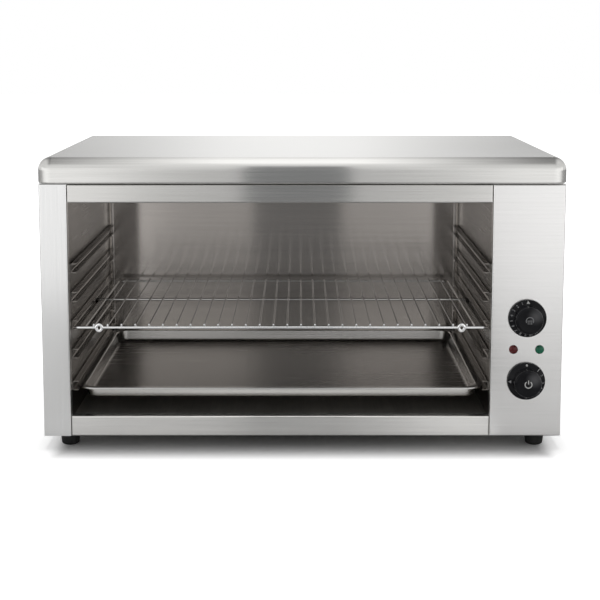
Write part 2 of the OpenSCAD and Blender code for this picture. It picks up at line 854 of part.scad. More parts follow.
// Domed lens with a flange in front of the panel.
module lamp_lens(s) {
    dome_r = 10;
    rise = 4.2;
    in_body() translate([controls_x + s * lamp_pitch / 2, 0, lamp_z]) rotate([-90, 0, 0]) {
        rotate_extrude() intersection() {
            translate([0, dome_r - rise]) circle(r = dome_r);
            translate([0, -rise]) square([lamp_r + 1.1, rise]);
        }
        translate([0, 0, -eps]) cylinder(r = lamp_r, h = 5);
    }
}

// Lamp holder with its retaining collar and two terminals.
module lamp_body(s) {
    in_body() translate([controls_x + s * lamp_pitch / 2, 0, lamp_z]) {
        rotate([-90, 0, 0]) rotate_extrude() translate([lamp_r, sheet]) square([3, 4]);
        translate([0, 5, 0]) along_y(lamp_r, 22);
        translate([0, 5, 0]) rotate([-90, 0, 0]) rotate_extrude()
            translate([lamp_r - 1, 0]) square([4, 2]);
        for (x = [-3.4, 3.4]) translate([x, 26, 0]) rotate([0, 90, 0]) spade();
    }
}

module red_lamp_lens() {
    color([0.4, 0.06, 0.07]) lamp_lens(-1);
}

module green_lamp_lens() {
    color([0.03, 0.35, 0.22]) lamp_lens(1);
}

module red_lamp_body() {
    color(cream) lamp_body(-1);
}

module green_lamp_body() {
    color(cream) lamp_body(1);
}

// Porcelain block with a wire way through each pole.
module terminal_block() {
    poles = 4;
    pitch = 14;
    color(cream) in_body() translate([controls_x - poles * pitch / 2, 340, sheet]) difference() {
        cube([poles * pitch, 24, 9]);
        for (i = [0:poles - 1]) translate([(i + 0.5) * pitch, 0, 0]) {
            translate([0, -1, 5]) along_y(2, 26);
            for (y = [6, 18]) translate([0, y, 5]) cylinder(r = 1.8, h = 5);
        }
    }
}

// ---------- Back fittings ----------

// Gland body: hexagon outside, thread through the panel, bore for the cable.
module cable_gland_body() {
    color(black) in_body() translate([gland_x, back_face_y, gland_z]) rotate([-90, 0, 0]) difference() {
        union() {
            hexagon(24, 5);
            translate([0, 0, -sheet - 8]) cylinder(r = gland_thread_r, h = sheet + 8 + gland_reach - 5);
        }
        translate([0, 0, -sheet - 9]) cylinder(r = gland_bore_d / 2, h = gland_reach + 20);
    }
}

// Dome nut that squeezes the gland round the cable.
module cable_gland_nut() {
    l = gland_reach - 6;
    color(black) in_body() translate([gland_x, back_face_y + 5.5, gland_z]) rotate([-90, 0, 0]) difference() {
        union() {
            hexagon(22, 8);
            cylinder(r = 11, h = 10);
            translate([0, 0, 9]) cylinder(r1 = 11, r2 = 8, h = l - 9 + 0.5);
        }
        translate([0, 0, -1]) cylinder(r = gland_thread_r + 0.05, h = l - 3);
        cylinder(r = gland_bore_d / 2, h = l + 2);
    }
}

module cable_gland_locknut() {
    color(black) in_body() translate([gland_x, body_d - 5, gland_z]) rotate([-90, 0, 0]) difference() {
        hexagon(23, 5);
        translate([0, 0, -1]) cylinder(r = gland_thread_r + 0.05, h = 7);
    }
}

// Stud for the equipotential bonding wire, with a run-out groove behind the nut.
module bonding_stud() {
    nut_end = sheet + stud_washer_t + stud_nut_h;
    color(brass) in_body() translate([stud_x, body_d, stud_z]) rotate([-90, 0, 0]) {
        translate([0, 0, -10]) cylinder(r = stud_r, h = 10 + nut_end);
        translate([0, 0, nut_end - eps]) cylinder(r = stud_r - 0.4, h = stud_groove_w + 2 * eps);
        translate([0, 0, nut_end + stud_groove_w]) cylinder(r = stud_r, h = stud_free_l);
        translate([0, 0, -4]) hexagon(10, 4);
    }
}

// Washer and nut on the stud, with its free end left for the wire.
module bonding_nuts() {
    color(zinc) in_body() translate([stud_x, back_face_y, stud_z]) rotate([-90, 0, 0]) difference() {
        union() {
            cylinder(r = 7, h = stud_washer_t);
            translate([0, 0, stud_washer_t]) hexagon(10, stud_nut_h);
        }
        translate([0, 0, -1]) cylinder(r = stud_r + 0.02, h = 8);
    }
}

// ---------- Feet and fasteners ----------

function foot_places() = [for (y = [foot_inset_y, body_d - foot_inset_y], x = [-1, 1])
    [x * (body_w / 2 - foot_inset_x), y]];

// Tapered rubber foot with a rounded tread and a recess for its screw.
module foot(i) {
    p = foot_places()[i - 1];
    top_r = foot_d / 2;
    low_r = top_r - 1.6;
    tread_r = 3.5;
    color(rubber) in_body() translate([p[0], p[1], -foot_h]) rotate_extrude() difference() {
        union() {
            translate([low_r - tread_r, tread_r]) circle(r = tread_r);
            square([low_r - tread_r, 2 * tread_r]);
            polygon([[0, tread_r], [low_r, tread_r], [top_r, foot_h - 1.5], [top_r, foot_h], [0, foot_h]]);
        }
        translate([-1, -1]) square([7, 8]);
        translate([-1, -1]) square([3.2, foot_h + 2]);
        translate([-tread_r - 1, -1]) square([tread_r + 1, foot_h + 2]);
    }
}

module foot_screws() {
    color(zinc) in_body() for (p = foot_places())
        translate([p[0], p[1], 7 - foot_h]) pan_screw(4.5, foot_screw_r, foot_h);
}

function back_screw_places() = concat(
    [for (x = [-1, 1], z = [36, 134, 232, 330]) [x * (body_w / 2 - 22), z]],
    [for (x = [-240, -80, 80, 240]) [x, 11]]);

module back_panel_screws() {
    color(zinc) in_body() for (p = back_screw_places())
        translate([p[0], back_face_y, p[1]]) rotate([90, 0, 0]) pan_screw(3.6, screw_r, 8);
}

function cover_screw_places() = [for (s = [-1, 1], y = [70, 220, 370]) [s * (body_w / 2 - 9), y]];

// Screws from below, through the body's flanges into the cover's flange.
module cover_screws() {
    color(zinc) in_body() for (p = cover_screw_places())
        translate([p[0], p[1], body_h - sheet]) pan_screw(3.6, screw_r, 2 * sheet + 4);
}

// Two screws behind each knob, into the thermostat and the switch.
module control_panel_screws() {
    color(zinc) for (z = [thermostat_z, selector_z]) place_control(z)
        for (s = [-1, 1]) translate([s * control_screw_x, 0, 0]) rotate([-90, 0, 0]) pan_screw(3, 1.6, 7);
}

// ---------- Assembly ----------

top_cover();
left_side_panel();
right_side_panel();
back_panel();
base_pan();
top_rail();
bottom_rail();
control_panel();
left_liner();
right_liner();
back_liner();
cavity_floor();
ceiling_reflector();
for (i = [1:levels]) left_runner(i);
for (i = [1:levels]) right_runner(i);
wire_rack();
baking_tray();
for (i = [1:3]) heating_element(i);
for (i = [1:2]) element_hanger(i);
element_nuts();
thermostat();
thermostat_spindle();
thermostat_bulb();
capillary_tube();
bulb_clips();
selector_switch();
selector_spindle();
thermostat_knob();
selector_knob();
red_lamp_lens();
green_lamp_lens();
red_lamp_body();
green_lamp_body();
terminal_block();
cable_gland_body();
cable_gland_nut();
cable_gland_locknut();
bonding_stud();
bonding_nuts();
for (i = [1:4]) foot(i);
foot_screws();
back_panel_screws();
cover_screws();
control_panel_screws();
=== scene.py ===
# %% [markdown]
# # A cheese melter in brushed stainless sheet
#
# A cheese melter is an open-fronted counter grill. Three sheathed elements hang under the ceiling
# of a steel cavity, a wire rack and a tray slide in C-shaped runners on its side walls, and a
# narrow control panel at the right carries two knobs and two pilot lamps.
# The measured solids come ready made. This lesson gives them their finishes, models the pieces
# whose curves the eye rests on, and lights the whole on a white studio table.

# %% Tools and the measured solids
import math

import bpy
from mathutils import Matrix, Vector


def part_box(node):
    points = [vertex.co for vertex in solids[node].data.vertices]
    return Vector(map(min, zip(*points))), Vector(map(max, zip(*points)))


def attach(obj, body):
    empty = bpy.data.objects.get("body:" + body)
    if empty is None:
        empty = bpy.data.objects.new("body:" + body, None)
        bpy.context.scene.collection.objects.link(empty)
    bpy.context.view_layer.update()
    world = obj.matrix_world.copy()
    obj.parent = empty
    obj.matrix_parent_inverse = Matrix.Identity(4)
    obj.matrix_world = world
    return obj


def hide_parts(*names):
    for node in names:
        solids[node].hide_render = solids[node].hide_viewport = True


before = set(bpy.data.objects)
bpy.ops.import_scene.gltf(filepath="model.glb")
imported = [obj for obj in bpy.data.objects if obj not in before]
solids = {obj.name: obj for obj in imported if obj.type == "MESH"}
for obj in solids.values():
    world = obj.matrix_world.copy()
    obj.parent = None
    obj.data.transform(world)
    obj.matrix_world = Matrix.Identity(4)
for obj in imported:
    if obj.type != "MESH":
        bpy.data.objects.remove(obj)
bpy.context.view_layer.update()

# %% [markdown]
# ## The camera
#
# A long lens stands two metres away, a little above the cover, and looks down by seven degrees.
# Its plate is slid down, as on a view camera, so that the melter's upright edges stay nearly
# parallel while the melter sits in the middle of the square frame.

# %% Camera
TILT_DOWN = 7.341
camera_data = bpy.data.cameras.new("camera")
camera_data.sensor_width = 36
camera_data.lens = 80.03
camera_data.shift_y = -0.15
camera = bpy.data.objects.new("camera", camera_data)
camera.location = (-0.00321, -2.11266, 0.59822)
camera.rotation_euler = (math.radians(90 - TILT_DOWN), 0, 0)
bpy.context.scene.collection.objects.link(camera)
bpy.context.scene.camera = camera
bpy.context.scene.view_settings.view_transform = "Standard"
print("camera at", tuple(round(v, 3) for v in camera.location))

# %% [markdown]
# ## Helpers for shaders
#
# A finish is a small tree of nodes that ends in one Principled shader. These helpers add a node
# with its values, join two sockets and do sums, so that the cells below read as recipes.

# %% Helpers for node trees
def link(tree, a, b):
    tree.links.new(a, b)


def fill(tree, socket, value):
    """Gives a socket a plain number, or joins it to another socket."""
    if isinstance(value, (int, float)):
        socket.default_value = value
    else:
        link(tree, value, socket)


def node(tree, kind, **inputs):
    """Adds a node and sets its inputs by name."""
    made = tree.nodes.new(kind)
    for name, value in inputs.items():
        made.inputs[name.replace("_", " ")].default_value = value
    return made


def sums(tree, operation, *values):
    """A Math node over sockets and plain numbers."""
    made = tree.nodes.new("ShaderNodeMath")
    made.operation = operation
    for socket, value in zip(made.inputs, values):
        fill(tree, socket, value)
    return made.outputs[0]


print("nodes, links and sums ready")

# %% [markdown]
# ## Ranges and blends
#
# Most patterns leave their node as a number between 0 and 1. Map Range carries it to the range
# that is wanted, softly or along a straight line, and Mix blends two colours by it.

# %% Ranges and blends
def ramp(tree, value, start, end, low, high, smooth=True):
    """Carries a value from one range to another and holds it at both ends."""
    made = node(tree, "ShaderNodeMapRange", From_Min=start, From_Max=end)
    made.interpolation_type = "SMOOTHSTEP" if smooth else "LINEAR"
    link(tree, value, made.inputs["Value"])
    fill(tree, made.inputs["To Min"], low)
    fill(tree, made.inputs["To Max"], high)
    return made.outputs["Result"]


def blend(tree, factor, a, b):
    """Mixes two colours."""
    made = tree.nodes.new("ShaderNodeMix")
    made.data_type = "RGBA"
    link(tree, factor, made.inputs["Factor"])
    for name, colour in (("A", a), ("B", b)):
        if isinstance(colour, tuple):
            made.inputs[name].default_value = (*colour, 1)
        else:
            link(tree, colour, made.inputs[name])
    return made.outputs["Result"]


print("ranges and blends ready")

# %% [markdown]
# ## The effect of brushed sheet
#
# The mill draws stainless sheet under an abrasive belt, which leaves thousands of hair-thin
# grooves along one direction. They could be painted as an image, but a noise that is squeezed
# across the grain and drawn out along it gives them at any size and has no seams. A coarser noise
# gathers the grooves into bundles, and a slow one gives the clouds that wiping leaves. The effect
# is a group, because every metal uses it. It puts out a colour, a roughness and a height.

# %% Shared effect: sheet grain
BUNDLE_WEIGHT, CLOUD_WEIGHT = 0.55, 0.6
HALF_SPREAD = 0.3


def new_group(name, takes, gives):
    """An empty shader group with named inputs and outputs."""
    kinds = {tuple: "NodeSocketColor", float: "NodeSocketFloat", Vector: "NodeSocketVector"}
    group = bpy.data.node_groups.new(name, "ShaderNodeTree")
    for label, value in takes.items():
        made = group.interface.new_socket(name=label, in_out="INPUT",
                                          socket_type=kinds[type(value)])
        made.default_value = (*value, 1) if type(value) is tuple else value
    for label, kind in gives.items():
        group.interface.new_socket(name=label, in_out="OUTPUT", socket_type=kinds[kind])
    return group, group.nodes.new("NodeGroupInput"), group.nodes.new("NodeGroupOutput")


def noise(tree, place, **inputs):
    """A noise over a place, with its values by name."""
    made = node(tree, "ShaderNodeTexNoise", **inputs)
    link(tree, place, made.inputs["Vector"])
    return made


def put_out_finish(group, put_in, put_out, mask, height):
    """Lets a mask go from dark to light and from smooth to rough, and passes the height on."""
    dark, light = put_in.outputs["Dark"], put_in.outputs["Light"]
    sleek, rough = put_in.outputs["Smooth"], put_in.outputs["Rough"]
    link(group, blend(group, mask, dark, light), put_out.inputs["Color"])
    link(group, ramp(group, mask, 0, 1, sleek, rough, smooth=False), put_out.inputs["Roughness"])
    link(group, height, put_out.inputs["Height"])


def make_sheet_grain():
    group, put_in, put_out = new_group(
        "sheet grain",
        {"Stretch": Vector((10, 900, 900)), "Dark": (0.6, 0.6, 0.6), "Light": (0.75, 0.75, 0.75),
         "Smooth": 0.25, "Rough": 0.35},
        {"Color": tuple, "Roughness": float, "Height": float})
    where = group.nodes.new("ShaderNodeTexCoord").outputs["Object"]
    drawn = node(group, "ShaderNodeVectorMath")
    drawn.operation = "MULTIPLY"
    link(group, where, drawn.inputs[0])
    link(group, put_in.outputs["Stretch"], drawn.inputs[1])
    grooves = noise(group, drawn.outputs[0], Scale=1.0, Detail=4.0, Roughness=0.6)
    bundles = noise(group, drawn.outputs[0], Scale=0.3, Detail=1.0, Roughness=0.5)
    clouds = noise(group, where, Scale=6.0, Detail=2.0, Roughness=0.45)
    slow = sums(group, "MULTIPLY_ADD", clouds.outputs["Fac"], CLOUD_WEIGHT,
                sums(group, "MULTIPLY", bundles.outputs["Fac"], BUNDLE_WEIGHT))
    middle = 0.5 * (1 + BUNDLE_WEIGHT + CLOUD_WEIGHT)
    spread = ramp(group, sums(group, "ADD", slow, grooves.outputs["Fac"]),
                  middle - HALF_SPREAD, middle + HALF_SPREAD, 0.0, 1.0, smooth=False)
    put_out_finish(group, put_in, put_out, spread, grooves.outputs["Fac"])
    return group


SHEET_GRAIN = make_sheet_grain()
print("sheet grain nodes:", len(SHEET_GRAIN.nodes))

# %% [markdown]
# ## From an effect to a material
#
# Each material places the effect with its own colours and gloss and feeds it to its shader. The
# height goes through a Bump node, because grooves this fine would need millions of faces. Brushed
# steel smears what it mirrors across its grooves and keeps it sharp along them. The anisotropy
# says how strongly, and the Tangent node tells the shader which way the grooves run.

# %% Materials from effects
GROOVES_PER_METRE, ENDS_PER_METRE = 1000, 9
GROOVE_DEPTH = 0.0002


def new_material(name, colour, metallic, roughness):
    """A material of one plain colour, with its node tree and its shader."""
    mat = bpy.data.materials.new(name)
    mat.use_nodes = True
    shader = mat.node_tree.nodes["Principled BSDF"]
    shader.inputs["Base Color"].default_value = (*colour, 1)
    shader.inputs["Metallic"].default_value = metallic
    shader.inputs["Roughness"].default_value = roughness
    mat.diffuse_color = (*colour, 1)
    return mat, mat.node_tree, shader


def from_effect(name, effect, own, dark, light, smooth, rough, metallic, bump, depth):
    """A material whose colour, roughness and relief come from a shared effect."""
    middle = tuple((a + b) / 2 for a, b in zip(dark, light))
    mat, tree, shader = new_material(name, middle, metallic, (smooth + rough) / 2)
    placed = tree.nodes.new("ShaderNodeGroup")
    placed.node_tree = effect
    values = {**own, "Dark": (*dark, 1), "Light": (*light, 1), "Smooth": smooth, "Rough": rough}
    for label, value in values.items():
        placed.inputs[label].default_value = value
    link(tree, placed.outputs["Color"], shader.inputs["Base Color"])
    link(tree, placed.outputs["Roughness"], shader.inputs["Roughness"])
    relief = node(tree, "ShaderNodeBump", Strength=bump, Distance=depth)
    link(tree, placed.outputs["Height"], relief.inputs["Height"])
    link(tree, relief.outputs["Normal"], shader.inputs["Normal"])
    return mat, tree, shader


def grained(name, stretch, dark, light, smooth, rough, bump):
    """A metal with the grain of sheet or wire."""
    return from_effect(name, SHEET_GRAIN, {"Stretch": stretch}, dark, light, smooth, rough,
                       1.0, bump, GROOVE_DEPTH)


def brushed(name, along, dark, light, smooth, rough, anisotropy, bump=0.03):
    """Sheet brushed along one axis: grooves run along it, and glints are drawn out across it."""
    stretch = tuple(ENDS_PER_METRE if axis == along else GROOVES_PER_METRE for axis in "XYZ")
    mat, tree, shader = grained(name, stretch, dark, light, smooth, rough, bump)
    shader.inputs["Anisotropic"].default_value = anisotropy
    tangent = tree.nodes.new("ShaderNodeTangent")
    tangent.direction_type = "RADIAL"
    tangent.axis = along
    link(tree, tangent.outputs["Tangent"], shader.inputs["Tangent"])
    return mat


print("grained and brushed metals ready")

# %% [markdown]
# ## The sheet
#
# The cover, the rails and the control panel are brushed across and the side panels upright. The
# liners of the cavity are a smoother sheet, and the floor, which catches the crumbs, is scrubbed
# dull.
# The liners and the runners get darker colours than the outer sheet: painted shade for the cavity,
# which takes its light only through the open front. The bowl of the tray gets a darker copy of the
# tray steel, also painted shade. Each line gives the grain's direction, a dark and a light colour,
# the roughness of its smooth and rough places, and how much it smears what it mirrors.

# %% Sheet steels
cover_steel = brushed("cover steel", "X", (0.665, 0.659, 0.64), (0.775, 0.768, 0.747),
                      0.13, 0.18, 1.0)
rail_steel = brushed("rail steel", "X", (0.635, 0.627, 0.608), (0.755, 0.746, 0.724),
                     0.15, 0.20, 1.0)
lower_rail_steel = brushed("lower rail steel", "X", (0.755, 0.747, 0.728), (0.945, 0.935, 0.912),
                           0.15, 0.20, 1.0)
panel_steel = brushed("panel steel", "X", (0.82, 0.813, 0.803), (0.91, 0.902, 0.892),
                      0.20, 0.26, 0.7)
side_steel = brushed("side steel", "Z", (0.84, 0.84, 0.833), (0.93, 0.929, 0.924),
                     0.22, 0.28, 0.6)
# Painted shade: the liners of the cavity and the runners are darker copies of the sheet steel.
shaded_cavity_across = brushed("cavity steel across", "X", (0.45, 0.42, 0.395), (0.52, 0.485, 0.455),
                        0.12, 0.15, 1.0)
shaded_cavity_deep = brushed("cavity steel front to back", "Y", (0.31, 0.295, 0.275), (0.38, 0.36, 0.34),
                      0.20, 0.28, 0.7)
shaded_runner_steel = brushed("runner steel", "Y", (0.21, 0.197, 0.18), (0.32, 0.30, 0.28),
                       0.14, 0.22, 0.5)
floor_steel = brushed("cavity floor steel", "Y", (0.60, 0.58, 0.55), (0.70, 0.68, 0.65),
                      0.50, 0.60, 0.3)
tray_steel = brushed("tray steel", "X", (0.70, 0.692, 0.675), (0.77, 0.761, 0.743),
                     0.18, 0.24, 0.7, bump=0.04)
# Painted shade: a darker copy of the tray steel for the inside of the bowl.
shaded_tray_bowl_steel = brushed("shaded tray bowl steel", "X", (0.39, 0.38, 0.365), (0.49, 0.477, 0.46),
                          0.20, 0.28, 0.25, bump=0.04)
print("sheet steels:", len(bpy.data.materials))

# %% [markdown]
# ## Wire, tube and fasteners
#
# Drawn wire, plated screws and the sheath of an element have a grain too, but no clear direction,
# so they use the same effect without the anisotropy.

# %% Other metals
FINE_GRAIN = (300, 300, 300)
wire_steel, wire_tree, wire_shader = grained(
    "rack wire", FINE_GRAIN, (0.90, 0.90, 0.90), (0.97, 0.97, 0.97), 0.12, 0.20, 0.05)
bright_wire, _, _ = grained("bright wire", FINE_GRAIN, (0.92, 0.92, 0.92), (0.97, 0.97, 0.97),
                            0.12, 0.20, 0.05)
zinc, _, _ = grained("zinc plate", (400, 400, 400), (0.60, 0.61, 0.58), (0.70, 0.71, 0.68),
                     0.25, 0.4, 0.1)
sheath, _, _ = grained("element sheath", (80, 200, 200), (0.05, 0.045, 0.04), (0.12, 0.11, 0.10),
                       0.4, 0.6, 0.1)
copper, _, _ = grained("drawn copper", FINE_GRAIN, (0.60, 0.33, 0.20), (0.75, 0.45, 0.30),
                       0.25, 0.4, 0.05)
brass, _, _ = grained("turned brass", (300, 60, 300), (0.65, 0.50, 0.22), (0.78, 0.62, 0.32),
                      0.2, 0.35, 0.1)
print("metals:", len(bpy.data.materials))

# %% [markdown]
# ## Painted shade on the rack
#
# The rack's long bars slide in the channels. The last millimetres of their ends lie inside them and
# are painted darker: painted shade. The flanks of its thin cross wires are painted near-black, a
# painted shade for the dark cavity that they mirror, and only a thin line along their tops keeps the
# wire's own bright colour. The bars further in are painted duller, as painted shade of the cavity,
# and only the front one keeps its full brightness. Such shade could be painted into an image, but
# here each kind is a mask on the place within the rack, and each lays its colour over the last.

# %% Painted shade on the rack
CAVITY_X = -0.032
BAR_END, SHADED_END_LENGTH = 0.2995, 0.003
RACK_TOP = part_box("wire_rack")[1][2]
RACK_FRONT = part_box("wire_rack")[0][1]


def place_on(tree):
    """The X, Y and Z sockets of the place on a piece."""
    split = node(tree, "ShaderNodeSeparateXYZ")
    link(tree, tree.nodes.new("ShaderNodeTexCoord").outputs["Object"], split.inputs[0])
    return split.outputs


def away_from(tree, value, middle):
    """How far a value lies from a middle, either way."""
    return sums(tree, "ABSOLUTE", sums(tree, "SUBTRACT", value, middle))


x, y, z = place_on(wire_tree)
# Painted shade: the bar ends inside the channels, the flanks of the cross wires and the bars further
# in are darkened.
shaded_bar_end = ramp(wire_tree, away_from(wire_tree, x, CAVITY_X), BAR_END - SHADED_END_LENGTH, BAR_END, 0, 1)
cross_wire = ramp(wire_tree, z, RACK_TOP - 0.0026, RACK_TOP - 0.0022, 0, 1)
below_top = ramp(wire_tree, z, RACK_TOP - 0.0007, RACK_TOP - 0.0003, 1, 0)
shaded_flank = sums(wire_tree, "MULTIPLY", cross_wire, below_top)
further_in = ramp(wire_tree, y, RACK_FRONT + 0.02, RACK_FRONT + 0.05, 0, 1)
shaded_inner_bar = sums(wire_tree, "MULTIPLY", further_in, sums(wire_tree, "SUBTRACT", 1.0, cross_wire))
# Painted shade colours, laid one over the other.
PAINTED_SHADE = (
    (shaded_inner_bar, (0.66, 0.65, 0.635)),
    (shaded_flank, (0.07, 0.067, 0.063)),
    (shaded_bar_end, (0.16, 0.15, 0.14)),
)
colour = wire_shader.inputs["Base Color"].links[0].from_socket
for mask, wear_and_painted_shade in PAINTED_SHADE:
    colour = blend(wire_tree, mask, colour, wear_and_painted_shade)
link(wire_tree, colour, wire_shader.inputs["Base Color"])
print("rack wire nodes:", len(wire_tree.nodes))

# %% [markdown]
# ## The effect of a moulded skin
#
# A moulded face is never quite one colour or one gloss. The tool leaves a faint orange peel, and
# handling leaves duller patches. Bumps could be sculpted, but a second group of noises gives both
# at any size, and each plastic sets its own values.

# %% Shared effect: moulded skin
PEEL_DEPTH = 0.0001


def make_moulded_skin():
    group, put_in, put_out = new_group(
        "moulded skin",
        {"Size": 400.0, "Dark": (0.02, 0.02, 0.02), "Light": (0.03, 0.03, 0.03),
         "Smooth": 0.2, "Rough": 0.3},
        {"Color": tuple, "Roughness": float, "Height": float})
    where = group.nodes.new("ShaderNodeTexCoord").outputs["Object"]
    peel = noise(group, where, Detail=2.0, Roughness=0.5)
    link(group, put_in.outputs["Size"], peel.inputs["Scale"])
    patches = noise(group, where, Scale=45.0, Detail=3.0, Roughness=0.6)
    wear_and_painted_shade = ramp(group, patches.outputs["Fac"], 0.35, 0.7, 0.0, 1.0)
    put_out_finish(group, put_in, put_out, wear_and_painted_shade, peel.outputs["Fac"])
    return group


MOULDED_SKIN = make_moulded_skin()
print("moulded skin nodes:", len(MOULDED_SKIN.nodes))

# %% [markdown]
# ## Mouldings, rubber and lenses
#
# The knobs are black phenolic with pale inks. Behind the panel there are cream and porcelain
# bodies, the gland is nylon, the feet are rubber, and the lamps have tinted lenses. Each line gives
# a dark and a light colour and the roughness of smooth and of rough places, and where it matters
# the fineness and the depth of the peel, a glaze and the strength of the shine.

# %% Mouldings
def moulded(name, dark, light, smooth, rough, size=400.0, bump=0.1, coat=0.0, shine=0.5):
    """A material whose colour, roughness and peel come from the moulded skin."""
    mat, _, shader = from_effect(name, MOULDED_SKIN, {"Size": size}, dark, light, smooth, rough,
                                 0.0, bump, PEEL_DEPTH)
    shader.inputs["Coat Weight"].default_value = coat
    shader.inputs["Coat Roughness"].default_value = 0.08
    shader.inputs["Specular IOR Level"].default_value = shine
    return mat


knob_black = moulded("knob moulding", (0.006, 0.006, 0.008), (0.012, 0.012, 0.015), 0.16, 0.28,
                     shine=0.15)
dial_ink = moulded("dial ink", (0.80, 0.80, 0.78), (0.90, 0.90, 0.88), 0.5, 0.6)
grey_ink = moulded("grey dial ink", (0.36, 0.36, 0.37), (0.48, 0.48, 0.49), 0.5, 0.6)
nylon = moulded("gland nylon", (0.018, 0.018, 0.018), (0.028, 0.028, 0.027), 0.42, 0.55,
                size=600.0, bump=0.3)
cream = moulded("switch moulding", (0.76, 0.72, 0.61), (0.82, 0.79, 0.68), 0.4, 0.5)
porcelain = moulded("porcelain", (0.82, 0.81, 0.77), (0.88, 0.87, 0.83), 0.1, 0.2,
                    size=120.0, bump=0.2, coat=0.6)
rubber = moulded("foot rubber", (0.012, 0.012, 0.012), (0.022, 0.022, 0.021), 0.5, 0.7,
                 size=900.0, bump=0.4)
red_glass = moulded("red lens", (0.10, 0.003, 0.005), (0.24, 0.006, 0.010), 0.10, 0.16,
                    size=700.0, bump=0.5, shine=0.4)
green_glass = moulded("green lens", (0.002, 0.10, 0.05), (0.004, 0.22, 0.11), 0.10, 0.16,
                      size=700.0, bump=0.5, shine=0.4)
print("materials:", len(bpy.data.materials))

# %% [markdown]
# ## A painted sheen on the caps
#
# The caps of the knobs get a painted sheen: the moulding is painted a little greyer in a patch at the
# upper right of each cap's face. A mask on the distance from the middle of that patch lays it over
# the black.

# %% Painted sheen on the caps
KNOB_X, PANEL_Y = 0.326, -0.216
THERMOSTAT_Z, SELECTOR_Z = 0.196, 0.103
REACH = 0.024
CAP_Y = PANEL_Y - REACH
SHEEN_ASIDE, SHEEN_UP, SHEEN_R = 0.009, 0.007, 0.015

knob_tree = knob_black.node_tree
knob_colour = knob_tree.nodes["Principled BSDF"].inputs["Base Color"]
x, y, z = place_on(knob_tree)
across = sums(knob_tree, "SUBTRACT", x, KNOB_X + SHEEN_ASIDE)
above = sums(knob_tree, "MINIMUM", away_from(knob_tree, z, THERMOSTAT_Z + SHEEN_UP),
             away_from(knob_tree, z, SELECTOR_Z + SHEEN_UP))
apart = sums(knob_tree, "SQRT", sums(knob_tree, "ADD", sums(knob_tree, "MULTIPLY", across, across),
                                     sums(knob_tree, "MULTIPLY", above, above)))
cap_face = ramp(knob_tree, y, CAP_Y + 0.0015, CAP_Y + 0.004, 1, 0)
# Painted sheen: a greyer patch at the upper right of each cap's face.
painted_sheen = sums(knob_tree, "MULTIPLY", ramp(knob_tree, apart, 0.0, SHEEN_R, 1, 0), cap_face)
moulding = knob_colour.links[0].from_socket
link(knob_tree, blend(knob_tree, painted_sheen, moulding, (0.13, 0.13, 0.135)), knob_colour)
print("knob moulding nodes:", len(knob_tree.nodes))

# %% [markdown]
# ## Each solid gets its finish
#
# The solids keep their names, so one table says which finish each one has. What the table leaves
# out are the ten runners.

# %% Finishes of the solids
FINISHES = (
    (cover_steel, "top_cover back_panel base_pan"),
    (rail_steel, "top_rail"),
    (lower_rail_steel, "bottom_rail"),
    (panel_steel, "control_panel"),
    (side_steel, "left_side_panel right_side_panel"),
    (shaded_cavity_across, "back_liner ceiling_reflector element_hanger_1 element_hanger_2 bulb_clips"),
    (shaded_cavity_deep, "left_liner right_liner"),
    (floor_steel, "cavity_floor"),
    (wire_steel, "wire_rack"),
    (tray_steel, "baking_tray"),
    (sheath, "heating_element_1 heating_element_2 heating_element_3"),
    (zinc, "element_nuts thermostat_spindle selector_spindle bonding_nuts foot_screws"),
    (zinc, "back_panel_screws cover_screws control_panel_screws"),
    (copper, "thermostat_bulb capillary_tube"),
    (brass, "bonding_stud"),
    (cream, "thermostat selector_switch red_lamp_body green_lamp_body"),
    (porcelain, "terminal_block"),
    (knob_black, "thermostat_knob selector_knob"),
    (red_glass, "red_lamp_lens"),
    (green_glass, "green_lamp_lens"),
    (nylon, "cable_gland_body cable_gland_nut cable_gland_locknut"),
    (rubber, "foot_1 foot_2 foot_3 foot_4"),
)
finish_of = {name: mat for mat, names in FINISHES for name in names.split()}
for name, solid in solids.items():
    solid.data.materials.clear()
    solid.data.materials.append(finish_of.get(name, shaded_runner_steel))
print("finished solids:", len(solids), "of which runners:", len(solids) - len(finish_of))

# %% [markdown]
# ## Selecting and settling
#
# Every new piece starts as a primitive at its place, is shaped in edit mode, and is then settled:
# its place goes into its mesh, its edges are smoothed, and it gets a name, a finish and the body
# that it moves with. Operators act on what is selected, so each step first clears the selection.

# %% Modelling helpers
def clear_selection():
    if bpy.context.object and bpy.context.object.mode != "OBJECT":
        bpy.ops.object.mode_set(mode="OBJECT")
    bpy.ops.object.select_all(action="DESELECT")


def take(piece):
    """Makes a piece the only selected one."""
    clear_selection()
    piece.select_set(True)
    bpy.context.view_layer.objects.active = piece


def apply_place():
    """Puts the place, turn and scale of the selected piece into its mesh."""
    bpy.ops.object.transform_apply(location=True, rotation=True, scale=True)


def settle(piece, name, finish, body, stands_for=(), angle=35):
    """Finishes a piece: place into the mesh, smooth shading, name, finish and body."""
    take(piece)
    apply_place()
    bpy.ops.object.shade_smooth_by_angle(angle=math.radians(angle))
    piece.name = piece.data.name = name
    piece.data.materials.clear()
    piece.data.materials.append(finish)
    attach(piece, body)
    for solid in stands_for:
        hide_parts(solid)
    print(f"{name}: {len(piece.data.polygons)} faces, rides on {body}")


print("modelling helpers ready")

# %% [markdown]
# ## Turning a round piece
#
# Knobs, lenses and screws are round. They could be spun from a profile in one go. Here a disc is
# extruded ring by ring towards the front and each ring is resized, which keeps every step of the
# profile in plain sight. An outline lists radius and distance in front, from the back to the face.

# %% Turning
UPRIGHT = math.radians(90)


